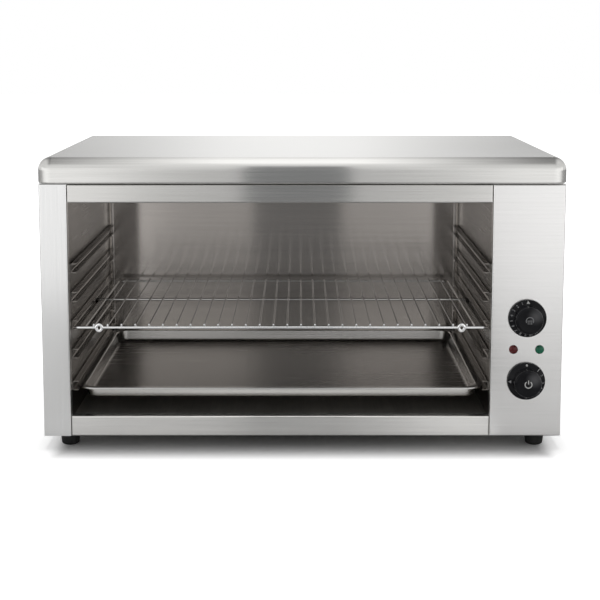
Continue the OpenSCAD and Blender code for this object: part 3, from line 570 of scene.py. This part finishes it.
def turned(place, outline, steps):
    """A round piece on an axis towards the front."""
    x, y, z = place
    clear_selection()
    bpy.ops.mesh.primitive_circle_add(vertices=steps, radius=outline[0][0], fill_type="NGON",
                                      location=(x, y - outline[0][1], z),
                                      rotation=(UPRIGHT, 0, 0))
    piece = bpy.context.object
    apply_place()
    bpy.ops.object.mode_set(mode="EDIT")
    bpy.ops.mesh.select_all(action="SELECT")
    for (old_r, old_d), (r, d) in zip(outline, outline[1:]):
        bpy.ops.mesh.extrude_region_move(TRANSFORM_OT_translate={"value": (0, old_d - d, 0)})
        bpy.ops.transform.resize(value=(r / old_r, 1, r / old_r), center_override=(x, y - d, z))
    bpy.ops.mesh.select_all(action="SELECT")
    bpy.ops.mesh.normals_make_consistent(inside=False)
    bpy.ops.object.mode_set(mode="OBJECT")
    return piece


def arc(middle_r, middle_d, r, start, end, steps):
    """Points of an arc in an outline, angles in degrees."""
    turns = [math.radians(start + (end - start) * i / steps) for i in range(steps + 1)]
    return [(middle_r + r * math.cos(t), middle_d + r * math.sin(t)) for t in turns]


print("turning ready")

# %% [markdown]
# ## The knobs
#
# A knob of this kind is one phenolic moulding: a thin skirt that carries the scale, a shallow
# cone, and a drum to grip with a rounded rim and a slightly dished face. One is turned, and the
# second is a copy with its own mesh.

# %% Knobs
GAP, SKIRT_R, DRUM_R = 0.0012, 0.0275, 0.0200
KNOB_OUTLINE = (
    [(SKIRT_R - 0.0022, GAP + 0.0001), (SKIRT_R - 0.0003, GAP + 0.0001), (SKIRT_R, GAP + 0.0004)]
    + arc(SKIRT_R - 0.0009, GAP + 0.0024, 0.0009, 0, 68, 4)
    + [(DRUM_R + 0.0012, GAP + 0.0066), (DRUM_R + 0.0005, GAP + 0.0071)]
    + [(DRUM_R + 0.0002, GAP + 0.0078), (DRUM_R - 0.0002, REACH - 0.0048)]
    + arc(DRUM_R - 0.0036, REACH - 0.0036, 0.0034, 0, 84, 8)
    + [(DRUM_R - 0.0046, REACH - 0.0003), (0.0120, REACH - 0.0005)]
    + [(0.0060, REACH - 0.0006), (0.0012, REACH - 0.0006)]
)
upper_knob = turned((KNOB_X, PANEL_Y, THERMOSTAT_Z), KNOB_OUTLINE, steps=96)
take(upper_knob)
bpy.ops.object.duplicate()
lower_knob = bpy.context.object
lower_knob.location.z = SELECTOR_Z - THERMOSTAT_Z
settle(upper_knob, "thermostat_grip", knob_black, "thermostat_dial", ["thermostat_knob"])
settle(lower_knob, "selector_grip", knob_black, "selector_dial", ["selector_knob"])

# %% [markdown]
# ## Ink on a knob
#
# The scales are printed. Each mark is a flat mesh that starts in front of the knob, is dropped onto
# it with a Shrinkwrap modifier, and gets the thickness of ink from Solidify.

# %% Ink
PRINT_Y = PANEL_Y - 0.03
INK = 0.00004


def join_pieces(pieces):
    """Joins pieces into the first of them."""
    take(pieces[0])
    for piece in pieces:
        piece.select_set(True)
    bpy.ops.object.join()
    return pieces[0]


def use_modifier(piece, kind, **settings):
    """Adds a modifier and applies it."""
    take(piece)
    made = piece.modifiers.new(kind.lower(), kind)
    for name, value in settings.items():
        setattr(made, name, value)
    bpy.ops.object.modifier_apply(modifier=made.name)


def lay_ink(marks, name, finish, body, knob):
    """Joins flat marks, drops them onto the knob and thickens them."""
    printed = join_pieces(marks)
    take(printed)
    apply_place()
    use_modifier(printed, "SHRINKWRAP", target=knob, wrap_method="PROJECT", use_project_y=True,
                 use_project_z=False, use_positive_direction=True, use_negative_direction=False,
                 offset=INK)
    use_modifier(printed, "SOLIDIFY", thickness=INK, offset=1.0)
    settle(printed, name, finish, body)


print("ink thickness:", INK)

# %% [markdown]
# ## The marks
#
# A scale needs figures, strokes and dots that stand outwards at an angle round the knob. A figure
# is a text object made into a mesh. A stroke is a plane, and a dot or a triangle is a filled
# circle with many sides or three.

# %% Figures, strokes and dots
def around(z, radius, angle):
    """The place at a clock angle round a knob, seen from the front."""
    turn = math.radians(angle)
    return (KNOB_X + radius * math.sin(turn), PRINT_Y, z + radius * math.cos(turn))


def figure(word, z, radius, angle, size):
    """A printed number that stands outwards at a clock angle."""
    clear_selection()
    bpy.ops.object.text_add(location=around(z, radius, angle),
                            rotation=(UPRIGHT, math.radians(angle), 0))
    made = bpy.context.object
    made.data.body = word
    made.data.size = size
    made.data.align_x = made.data.align_y = "CENTER"
    made.data.resolution_u = 3
    bpy.ops.object.convert(target="MESH")
    return bpy.context.object


def rectangle(place, width, height, angle=0):
    """A flat rectangle that faces the front, upright or turned to a clock angle."""
    clear_selection()
    bpy.ops.mesh.primitive_plane_add(size=1, location=place,
                                     rotation=(UPRIGHT, math.radians(angle), 0))
    made = bpy.context.object
    made.scale = (width, height, 1)
    return made


def dot(z, radius, angle, r, sides=24):
    """A printed dot, or a triangle when it has three sides."""
    clear_selection()
    bpy.ops.mesh.primitive_circle_add(vertices=sides, radius=r, fill_type="NGON",
                                      location=around(z, radius, angle),
                                      rotation=(UPRIGHT, math.radians(angle), 0))
    return bpy.context.object


print("marks ready")

# %% [markdown]
# ## The scale on each skirt
#
# The thermostat's figures count up against the clock, because its skirt turns under a fixed mark.
# The selector has its positions spread over the right side. The mark for off is white on both.

# %% Scales
SCALE_R = 0.0238
marks = [dot(THERMOSTAT_Z, SCALE_R, 0, 0.0028, 3)]
grey = [figure(str(k), THERMOSTAT_Z, SCALE_R, -2 - 19 * k, 0.0056) for k in range(1, 12)]
lay_ink(marks, "thermostat_mark", dial_ink, "thermostat_dial", upper_knob)
lay_ink(grey, "thermostat_scale", grey_ink, "thermostat_dial", upper_knob)

marks = [dot(SELECTOR_Z, SCALE_R + 0.0004, 0, 0.0015)]
marks += [figure("1", SELECTOR_Z, SCALE_R, 45, 0.0066)]
grey = [figure(word, SELECTOR_Z, SCALE_R, angle, 0.0054)
        for word, angle in (("2", 67), ("3", 94), ("4", 113))]
grey += [rectangle(around(SELECTOR_Z, SCALE_R, angle), 0.0009, 0.0028, angle)
         for angle in (131, 180)]
grey += [dot(SELECTOR_Z, SCALE_R, 270, 0.0026, 3)]
lay_ink(marks, "selector_mark", dial_ink, "selector_dial", lower_knob)
lay_ink(grey, "selector_scale", grey_ink, "selector_dial", lower_knob)

# %% [markdown]
# ## Arcs
#
# The signs on the caps need arcs of an even width. An arc is a circle with part of its points
# taken away and its edges extruded inwards into a band. A curve with a bevel would do as well,
# but it would have to be made a mesh before it could be dropped onto the cap.

# %% Arcs
def ring_band(z, r, width, start, end):
    """A printed arc round a knob's axis, from one clock angle to another."""
    clear_selection()
    bpy.ops.mesh.primitive_circle_add(vertices=40, radius=r, fill_type="NOTHING",
                                      location=(KNOB_X, PRINT_Y, z), rotation=(UPRIGHT, 0, 0))
    made = bpy.context.object
    bpy.ops.object.mode_set(mode="EDIT")
    bpy.ops.mesh.select_all(action="DESELECT")
    bpy.ops.object.mode_set(mode="OBJECT")
    for corner in made.data.vertices:
        clock = math.degrees(math.atan2(corner.co.x, corner.co.y))
        corner.select = not any(start - 0.1 <= clock + turn <= end + 0.1 for turn in (-360, 0, 360))
    bpy.ops.object.mode_set(mode="EDIT")
    bpy.ops.mesh.select_mode(type="VERT")
    bpy.ops.mesh.delete(type="VERT")
    bpy.ops.mesh.select_all(action="SELECT")
    bpy.ops.mesh.extrude_region_move(TRANSFORM_OT_translate={"value": (0, 0, 0)})
    inner = (r - width) / r
    bpy.ops.transform.resize(value=(inner, 1, inner), center_override=(KNOB_X, PRINT_Y, z))
    bpy.ops.object.mode_set(mode="OBJECT")
    return made


print("arcs ready")

# %% [markdown]
# ## The signs on the caps
#
# The faces carry two plain signs: a heat sign, which is a dome over a bar and three short strokes,
# and the open ring with a stroke of every mains switch. Both are laid like the scales.

# %% Signs
heat = [ring_band(THERMOSTAT_Z + 0.0004, 0.0058, 0.0009, -125, 125)]
heat += [rectangle((KNOB_X + shift, PRINT_Y, THERMOSTAT_Z - 0.0024), 0.0008, 0.0042)
         for shift in (-0.0026, 0.0, 0.0026)]
heat += [rectangle((KNOB_X, PRINT_Y, THERMOSTAT_Z + 0.0006), 0.0080, 0.0008)]
lay_ink(heat, "heat_sign", grey_ink, "thermostat_dial", upper_knob)
mains = [ring_band(SELECTOR_Z, 0.0056, 0.0013, 36, 324)]
mains += [rectangle((KNOB_X, PRINT_Y, SELECTOR_Z + 0.0034), 0.0013, 0.0058)]
lay_ink(mains, "mains_sign", dial_ink, "selector_dial", lower_knob)

# %% [markdown]
# ## The pilot lamps
#
# Each lamp is a small coloured dome that snaps into the panel behind a thin collar. The dome is
# turned like the knobs, with a step at its foot for the collar. The fine rings that spread the
# light inside a real lens are far too small to model, so the grain of its finish stands for them.

# %% Lamp lenses
LAMP_Z, LAMP_ASIDE = 0.1495, 0.019
COLLAR = [(0.0062, 0.0), (0.0065, 0.0003), (0.0065, 0.0009), (0.0062, 0.0012)]
DOME = [(0.0060 * math.cos(math.radians(a)), 0.0012 + 0.0029 * math.sin(math.radians(a)))
        for a in range(8, 88, 8)]
for lamp_name, shift, finish in (("red", -LAMP_ASIDE, red_glass), ("green", LAMP_ASIDE, green_glass)):
    lens = turned((KNOB_X + shift, PANEL_Y, LAMP_Z), COLLAR + DOME, steps=48)
    settle(lens, f"{lamp_name}_lamp_dome", finish, "housing", [f"{lamp_name}_lamp_lens"], angle=50)

# %% [markdown]
# ## The baking tray
#
# The tray is pressed from one sheet: a flat rim that turns down at its edge, walls that slope in,
# and soft corners where the press draws the metal. It could be carved out of a block, but a real
# one starts as a flat blank, and a plane is that. From the rim, inset after inset goes down the
# wall to the floor. Each step is how far it goes inwards and how far up.

# %% Tray sizes
CORNER_R = 0.028
tray_low, tray_high = (Vector(corner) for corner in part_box("baking_tray"))
tray_middle = (tray_low + tray_high) / 2
tray_size = tray_high - tray_low
TO_FLOOR = (
    (0.0007, 0.0), (0.0088, 0.0), (0.0006, -0.0001), (0.0006, -0.0005), (0.0002, -0.0008),
    (0.0040, 0.0054 - tray_size.z), (0.0006, -0.0014), (0.0010, -0.0012), (0.0014, -0.0008),
    (0.0016, -0.0004), (0.0060, 0.0),
)
print("tray", [round(v, 4) for v in tray_size])

# %% [markdown]
# ## Picking the outline
#
# The rim turns down all along the outline of the tray, so those edges have to be selected by their
# place. Object mode is where marks on a mesh can be set in code, and edit mode then shows them as
# the selection.

# %% Picking edges
def pick_edges(piece, test):
    """Opens a piece in edit mode with the edges selected whose two ends pass the test."""
    take(piece)
    bpy.ops.object.mode_set(mode="EDIT")
    bpy.ops.mesh.select_mode(type="EDGE")
    bpy.ops.mesh.select_all(action="DESELECT")
    bpy.ops.object.mode_set(mode="OBJECT")
    places = [v.co for v in piece.data.vertices]
    for edge in piece.data.edges:
        edge.select = all(test(places[i]) for i in edge.vertices)
    bpy.ops.object.mode_set(mode="EDIT")


def on_outline(place):
    """True on the rounded outline of the tray: a corner radius away from the rectangle within."""
    past_x = abs(place.x - tray_middle.x) - tray_size.x / 2 + CORNER_R
    past_y = abs(place.y - tray_middle.y) - tray_size.y / 2 + CORNER_R
    return Vector((max(past_x, 0), max(past_y, 0))).length > CORNER_R - 0.0001


print("outline test ready")

# %% [markdown]
# ## Pressing the tray
#
# The corners of the blank are bevelled round, the insets draw the bowl, and the outline is
# extruded down for the rim. Solidify then gives the sheet and Bevel eases its cut edge.

# %% Baking tray
clear_selection()
bpy.ops.mesh.primitive_plane_add(size=1, location=(tray_middle.x, tray_middle.y, tray_high.z))
tray = bpy.context.object
tray.scale = (tray_size.x, tray_size.y, 1)
apply_place()
bpy.ops.object.mode_set(mode="EDIT")
bpy.ops.mesh.select_all(action="SELECT")
bpy.ops.mesh.bevel(offset=CORNER_R, segments=12, affect="VERTICES")
bpy.ops.mesh.select_all(action="SELECT")
for across, down in TO_FLOOR:
    bpy.ops.mesh.inset(thickness=across, depth=down, use_boundary=True)
bpy.ops.object.mode_set(mode="OBJECT")
pick_edges(tray, on_outline)
for step_down in (0.0008, 0.0014):
    bpy.ops.mesh.extrude_edges_move(TRANSFORM_OT_translate={"value": (0, 0, -step_down)})
bpy.ops.object.mode_set(mode="OBJECT")
use_modifier(tray, "SOLIDIFY", thickness=0.0009, offset=-1.0)
use_modifier(tray, "BEVEL", width=0.0003, segments=2, limit_method="ANGLE",
             angle_limit=math.radians(50))
settle(tray, "baking_tray_pressing", tray_steel, "tray", ["baking_tray"], angle=50)

# %% [markdown]
# The inside of the bowl is painted darker than the rim and the outside, as painted shade for the dark
# surroundings that it mirrors. A second material goes on the faces below the rim that look up or
# inwards.

# %% Tray bowl
BELOW_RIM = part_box("baking_tray")[1][2] - 0.0016
tray.data.materials.append(shaded_tray_bowl_steel)
for face in tray.data.polygons:
    to_middle = tray_middle - face.center
    to_middle.z = 0
    inside = face.normal.z > 0.7 or to_middle.dot(face.normal) > 0
    if face.center.z < BELOW_RIM and inside:
        face.material_index = 1
print("bowl faces:", sum(face.material_index for face in tray.data.polygons))

# %% [markdown]
# ## Beads and their copies
#
# A weld bead is a ball squashed to the shape that the electrodes leave, with few faces, because
# there are many of them. What repeats is modelled once, and each copy gets a mesh of its own.

# %% Beads and copies
def bead(place, size):
    """A ball squashed to three half sizes."""
    clear_selection()
    bpy.ops.mesh.primitive_uv_sphere_add(segments=10, ring_count=6, radius=1, location=place)
    made = bpy.context.object
    made.scale = size
    apply_place()
    return made


def copy_to(pattern, place, turn=0.0):
    """A copy of a piece with its own mesh, at another place and turned about its axis."""
    made = pattern.copy()
    made.data = pattern.data.copy()
    made.rotation_euler = (0, turn, 0)
    made.location = place
    bpy.context.scene.collection.objects.link(made)
    return made


print("beads and copies ready")

# %% [markdown]
# ## Tips, welds and eyelets of the rack
#
# The cross wires lie over the bars, are spot-welded at each crossing, and end in small rounded tips
# at the front bar. One bead is modelled for the tips and one for the welds. The two ring eyelets on
# the front bar are squashed tori.

# %% Rack tips and welds
WIRES, WIRE_PITCH = 28, 0.02024
BAR_Y, MIDDLE_BAR, BACK_WIRE = -0.196, 0.212, 0.378
rack_low, rack_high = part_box("wire_rack")
WIRE_Z = rack_high[2] - 0.0013
WELD_Z = WIRE_Z - 0.0014
EYELET_X = 0.2655

tip = bead((0, 0, 0), (0.00135, 0.0011, 0.00135))
weld = bead((0, 0, 0), (0.0021, 0.0017, 0.0011))
rows = [(tip, BAR_Y - 0.0020, WIRE_Z)]
rows += [(weld, BAR_Y + further, WELD_Z) for further in (0.0, MIDDLE_BAR, BACK_WIRE)]
beads = [copy_to(pattern, (CAVITY_X + (k - (WIRES - 1) / 2) * WIRE_PITCH, y, z))
         for pattern, y, z in rows for k in range(WIRES)]
for pattern in (tip, weld):
    bpy.data.objects.remove(pattern)
for x in (CAVITY_X - EYELET_X, CAVITY_X + EYELET_X):
    clear_selection()
    bpy.ops.mesh.primitive_torus_add(major_radius=0.00415, minor_radius=0.0020, major_segments=40,
                                     minor_segments=12, rotation=(UPRIGHT, 0, 0),
                                     location=(x, rack_low[1] + 0.0002, rack_low[2] + 0.0062))
    ring = bpy.context.object
    ring.scale = (1, 1.08, 0.55)
    apply_place()
    beads.append(ring)
settle(join_pieces(beads), "rack_welds", bright_wire, "rack")

# %% [markdown]
# ## Seams in the back corners of the cavity
#
# The side liners end in a flange, eight millimetres wide, that is spot-welded to the back liner.
# Its rounded edge catches the light as a thin upright line in each back corner. A plane as tall as
# the cavity gets the thickness of the sheet from Solidify and its round edge from Bevel, and small
# dimples mark the welds.

# %% Cavity seams
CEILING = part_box("ceiling_reflector")[0][2]
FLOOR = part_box("cavity_floor")[1][2]
FLANGE, FLANGE_SHEET, SHEET_ROUND = 0.0080, 0.0011, 0.0005
SPOT_WELDS, FIRST_WELD, WELD_PITCH = 7, 0.03, 0.045
SPOT_SIZE = (0.0019, 0.0005, 0.0019)
back_low, back_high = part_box("back_liner")
seams = []
for x in (back_low[0] + FLANGE / 2, back_high[0] - FLANGE / 2):
    strip = rectangle((x, back_low[1] - 0.0006, (CEILING + FLOOR) / 2),
                      FLANGE - 0.0002, CEILING - FLOOR - 0.0004)
    apply_place()
    use_modifier(strip, "SOLIDIFY", thickness=FLANGE_SHEET, offset=0.0)
    use_modifier(strip, "BEVEL", width=SHEET_ROUND, segments=3, limit_method="ANGLE",
                 angle_limit=math.radians(50))
    seams.append(strip)
    seams += [bead((x, back_low[1] - FLANGE_SHEET, FLOOR + FIRST_WELD + k * WELD_PITCH), SPOT_SIZE)
              for k in range(SPOT_WELDS)]
settle(join_pieces(seams), "cavity_seams", shaded_cavity_across, "housing")

# %% [markdown]
# ## The screws of the back panel
#
# Pan-head screws hold the back panel. Their domed heads could stay as the plain solids are, but a
# cross recess is what makes a screw look like one. One screw is turned, two crossed bars are cut
# out of its head with Boolean modifiers, and it is turned round to face the back.

# %% One screw
HEAD_R = 0.0036
SHANK = [(0.0008, -0.0080), (0.0017, -0.0072), (0.0018, 0.0), (HEAD_R, 0.0), (HEAD_R, 0.0006)]
HEAD = [(HEAD_R * math.cos(math.radians(a)), 0.0006 + 0.0016 * math.sin(math.radians(a)))
        for a in (14, 28, 42, 56, 68, 78)]
RECESS_WIDTH, RECESS_LENGTH = 0.0008, 0.0040
screw = turned((0, 0, 0), SHANK + HEAD, steps=28)
for wide, tall in ((RECESS_WIDTH, RECESS_LENGTH), (RECESS_LENGTH, RECESS_WIDTH)):
    clear_selection()
    bpy.ops.mesh.primitive_cube_add(size=1, location=(0, -0.0022, 0))
    cutter = bpy.context.object
    cutter.scale = (wide, 0.0026, tall)
    apply_place()
    use_modifier(screw, "BOOLEAN", object=cutter, operation="DIFFERENCE", solver="EXACT")
    bpy.data.objects.remove(cutter)
take(screw)
screw.rotation_euler = (0, 0, math.pi)
apply_place()
print("one screw:", len(screw.data.polygons), "faces")

# %% [markdown]
# Four screws go down each side of the panel and four along its foot. No two recesses stop at the
# same angle, because nobody lines them up.

# %% Back panel screws
SCREW_Y, SIDE_X, FOOT_Z = 0.2190, 0.356, 0.031
places = [(side * SIDE_X, SCREW_Y, z) for side in (-1, 1) for z in (0.056, 0.154, 0.252, 0.350)]
places += [(x, SCREW_Y, FOOT_Z) for x in (-0.24, -0.08, 0.08, 0.24)]
screws = [copy_to(screw, place, math.radians(37 * k)) for k, place in enumerate(places)]
bpy.data.objects.remove(screw)
settle(join_pieces(screws), "back_screws", zinc, "housing", ["back_panel_screws"], angle=30)

# %% [markdown]
# ## The thread of the bonding stud
#
# The stud stands out beside the cable gland for a bonding wire. Its thread could be a helix, but
# at under a millimetre of pitch nobody can tell it from a stack of fine rings, which stay light.

# %% Thread
THREAD_PITCH, BARE_END = 0.0008, 0.0006
stud_low, stud_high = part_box("bonding_stud")
nuts_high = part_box("bonding_nuts")[1]
stud_x, stud_z = (stud_low[0] + stud_high[0]) / 2, (stud_low[2] + stud_high[2]) / 2
rings = []
y = nuts_high[1] + BARE_END
while y < stud_high[1] - BARE_END:
    clear_selection()
    bpy.ops.mesh.primitive_torus_add(major_radius=0.00295, minor_radius=0.00028,
                                     major_segments=28, minor_segments=6,
                                     location=(stud_x, y, stud_z), rotation=(UPRIGHT, 0, 0))
    rings.append(bpy.context.object)
    y += THREAD_PITCH
print("thread rings:", len(rings))
settle(join_pieces(rings), "stud_thread", brass, "housing")

# %% [markdown]
# ## The studio
#
# Polished sheet shows its surroundings more than its own colour, so most of the look is what
# stands round the melter. A real studio would use big white boards. Here they are written into
# the world by the direction of a ray, because a ramp is easy to soften and never gets in the way.
# The direction is split into its share to the east, to the north and upwards. North is behind the
# melter, and how far aside a ray goes is its share east over its share north.

# %% Directions
world = bpy.data.worlds.new("studio")
bpy.context.scene.world = world
world.use_nodes = True
wt = world.node_tree
direction = node(wt, "ShaderNodeSeparateXYZ")
link(wt, wt.nodes.new("ShaderNodeTexCoord").outputs["Generated"], direction.inputs[0])
east, north, up = direction.outputs
depth = sums(wt, "MAXIMUM", sums(wt, "ABSOLUTE", north), 0.05)
aside = sums(wt, "DIVIDE", sums(wt, "ABSOLUTE", east), depth)
off_middle = away_from(wt, east, -0.008)
print("directions:", [socket.name for socket in direction.outputs])

# %% [markdown]
# ## The boards
#
# In front, the boards are dimmer straight ahead and bright at both sides. Behind, they are
# brightest in the middle. Higher up behind hangs a bright band that darkens to its sides, and the
# cover's rounded edge draws it out into a white line. Over the front there is an even level.

# %% Boards
AHEAD, BESIDE_AHEAD, FAR_ASIDE = 0.64, 1.12, 0.14
STRAIGHT_BEHIND, BESIDE_BEHIND = 1.2, 0.88
BAND, BAND_SIDES, BAND_ENDS = 1.38, 0.30, 0.5
OVER_FRONT = 0.85

in_front = sums(wt, "ADD", ramp(wt, aside, 0.06, 0.20, AHEAD, BESIDE_AHEAD),
                ramp(wt, aside, 0.2, 0.8, 0.0, FAR_ASIDE))
behind = ramp(wt, aside, 0.0, 0.17, STRAIGHT_BEHIND, BESIDE_BEHIND)
level = ramp(wt, sums(wt, "GREATER_THAN", north, 0.0), 0.0, 1.0, in_front, behind, smooth=False)
band = sums(wt, "ADD", ramp(wt, off_middle, 0.05, 0.19, BAND, BAND_SIDES, smooth=False),
            ramp(wt, off_middle, 0.24, 0.6, 0.0, BAND_ENDS))
high_behind = sums(wt, "MULTIPLY", band, ramp(wt, north, 0.2, 0.8, 1.0, 0.75))
higher = ramp(wt, north, -0.75, -0.4, OVER_FRONT, high_behind)
boards = ramp(wt, up, 0.14, 0.34, level, higher)
print("nodes of the boards:", len(wt.nodes))

# %% [markdown]
# ## Who sees the boards
#
# Only mirrors see the boards. Matt faces get an even, plain level, at which a colour renders about
# as it is written, and the camera sees a white background.

# %% World
MATT_LEVEL = 0.35


def ray_mask(tree, *kinds):
    """1 for the named kinds of ray, 0 for the rest."""
    path = tree.nodes.new("ShaderNodeLightPath")
    result = path.outputs[kinds[0]]
    for kind in kinds[1:]:
        result = sums(tree, "MAXIMUM", result, path.outputs[kind])
    return result


mirrored = ray_mask(wt, "Is Glossy Ray", "Is Transmission Ray")
lit = ramp(wt, mirrored, 0, 1, MATT_LEVEL, boards, smooth=False)
strength = ramp(wt, ray_mask(wt, "Is Camera Ray"), 0, 1, lit, 1.0, smooth=False)
background = wt.nodes["Background"]
background.inputs["Color"].default_value = (1, 1, 1, 1)
link(wt, strength, background.inputs["Strength"])
print("world nodes:", len(wt.nodes))

# %% [markdown]
# ## The table top
#
# The melter stands on a pale table. Mirrors see it shaded: dim far out in front of the melter,
# lighter near its feet, and lightest towards the right end of the lower rail. The table glows a
# little for the camera alone, and only away from the melter, so that it goes over into the white
# background while the shadow at the feet stays.

# %% Table top
SEEN_PALE, DIM, OUTSIDE = 0.98, 0.13, 0.80
FEET_LEFT, FEET_RIGHT = 0.60, 0.76
GLOW_X, GLOW_Y = 0.343, 0.225

table_mat, ft, table_shader = new_material("table top", (0.8, 0.8, 0.8), 0, 1.0)
table_shader.inputs["Specular IOR Level"].default_value = 0
table_shader.inputs["Emission Color"].default_value = (1, 1, 1, 1)
seen = ray_mask(ft, "Is Camera Ray")
x, y, z = place_on(ft)
off_x, off_y = sums(ft, "ABSOLUTE", x), sums(ft, "ABSOLUTE", y)
distant = ramp(ft, off_x, 0.34, 0.42, DIM, OUTSIDE)
to_right = ramp(ft, x, 0.10, 0.26, FEET_LEFT, FEET_RIGHT)
at_feet = sums(ft, "MULTIPLY", to_right, ramp(ft, x, 0.285, 0.31, 1.0, 0.75))
inwards = ramp(ft, y, -0.95, -0.4, distant, at_feet)
shade = sums(ft, "MULTIPLY", inwards, ramp(ft, off_x, 0.04, 0.2, 0.78, 1.0))
link(ft, ramp(ft, seen, 0, 1, shade, SEEN_PALE, smooth=False), table_shader.inputs["Base Color"])
beside, before = sums(ft, "SUBTRACT", off_x, GLOW_X), sums(ft, "SUBTRACT", off_y, GLOW_Y)
near = sums(ft, "MAXIMUM", ramp(ft, beside, 0.0, 0.03, 0, 1), ramp(ft, before, 0.0, 0.058, 0, 1))
far = ramp(ft, sums(ft, "MAXIMUM", beside, before), 0.05, 0.5, 0.5, 1.0)
glow = sums(ft, "MULTIPLY", sums(ft, "MULTIPLY", near, far), seen)
link(ft, glow, table_shader.inputs["Emission Strength"])
print("table top nodes:", len(ft.nodes))

# %% [markdown]
# ## The table
#
# A plane reaches far behind and to both sides, where its edges are out of sight, and ends a metre
# in front of the melter. It belongs to the studio and not to the melter.

# %% Table
TABLE_FRONT, TABLE_BACK, TABLE_WIDTH = -1.276, 12, 14
clear_selection()
bpy.ops.mesh.primitive_plane_add(size=1, location=(0, 0, 0))
table = bpy.context.object
table.name = "studio_table"
for corner in table.data.vertices:
    corner.co.x *= TABLE_WIDTH
    corner.co.y = TABLE_FRONT if corner.co.y < 0 else TABLE_BACK
table.data.materials.append(table_mat)
print("table from y", TABLE_FRONT, "to", TABLE_BACK)

# %% [markdown]
# ## The lamp
#
# One wide lamp lights what is matt. It hangs high over the melter and shines straight down, as an
# area lamp does unless it is turned, so that the shadow lies right under the melter. It is hidden
# from mirrors, which see only the boards.

# %% Lamp
LAMP_PLACE, LAMP_SIZE, LAMP_RADIANCE = (0, -0.03, 2.4), (1.4, 0.4), 22.0

light = bpy.data.lights.new("key", "AREA")
light.shape = "RECTANGLE"
light.size, light.size_y = LAMP_SIZE
light.energy = LAMP_RADIANCE * math.pi * LAMP_SIZE[0] * LAMP_SIZE[1]
lamp = bpy.data.objects.new("key", light)
lamp.location = LAMP_PLACE
lamp.visible_camera = False
lamp.visible_glossy = False
bpy.context.scene.collection.objects.link(lamp)
print("lamp power:", round(light.energy, 1), "W")

# %% [markdown]
# ## The camera's own reflection
#
# Whoever holds the camera stands in front of the bright studio and is mirrored in the steel. A grey
# card there gives the dim stripe down the middle of every front face. Only mirrors see it.

# %% Grey card
CARD_PLACE, CARD_SIZE, CARD_LEVEL = (-0.012, -2.2, 0.4), (0.315, 2.8), 0.265

card_mat, _, card_shader = new_material("grey card", (0.0, 0.0, 0.0), 0, 1.0)
card_shader.inputs["Specular IOR Level"].default_value = 0
card_shader.inputs["Emission Color"].default_value = (0.98, 1, 1.02, 1)
card_shader.inputs["Emission Strength"].default_value = CARD_LEVEL
card = rectangle(CARD_PLACE, *CARD_SIZE)
apply_place()
card.name = "grey_card"
card.data.materials.append(card_mat)
card.visible_camera = False
card.visible_shadow = False
card.visible_diffuse = False
print("card", CARD_SIZE[0], "by", CARD_SIZE[1], "m")
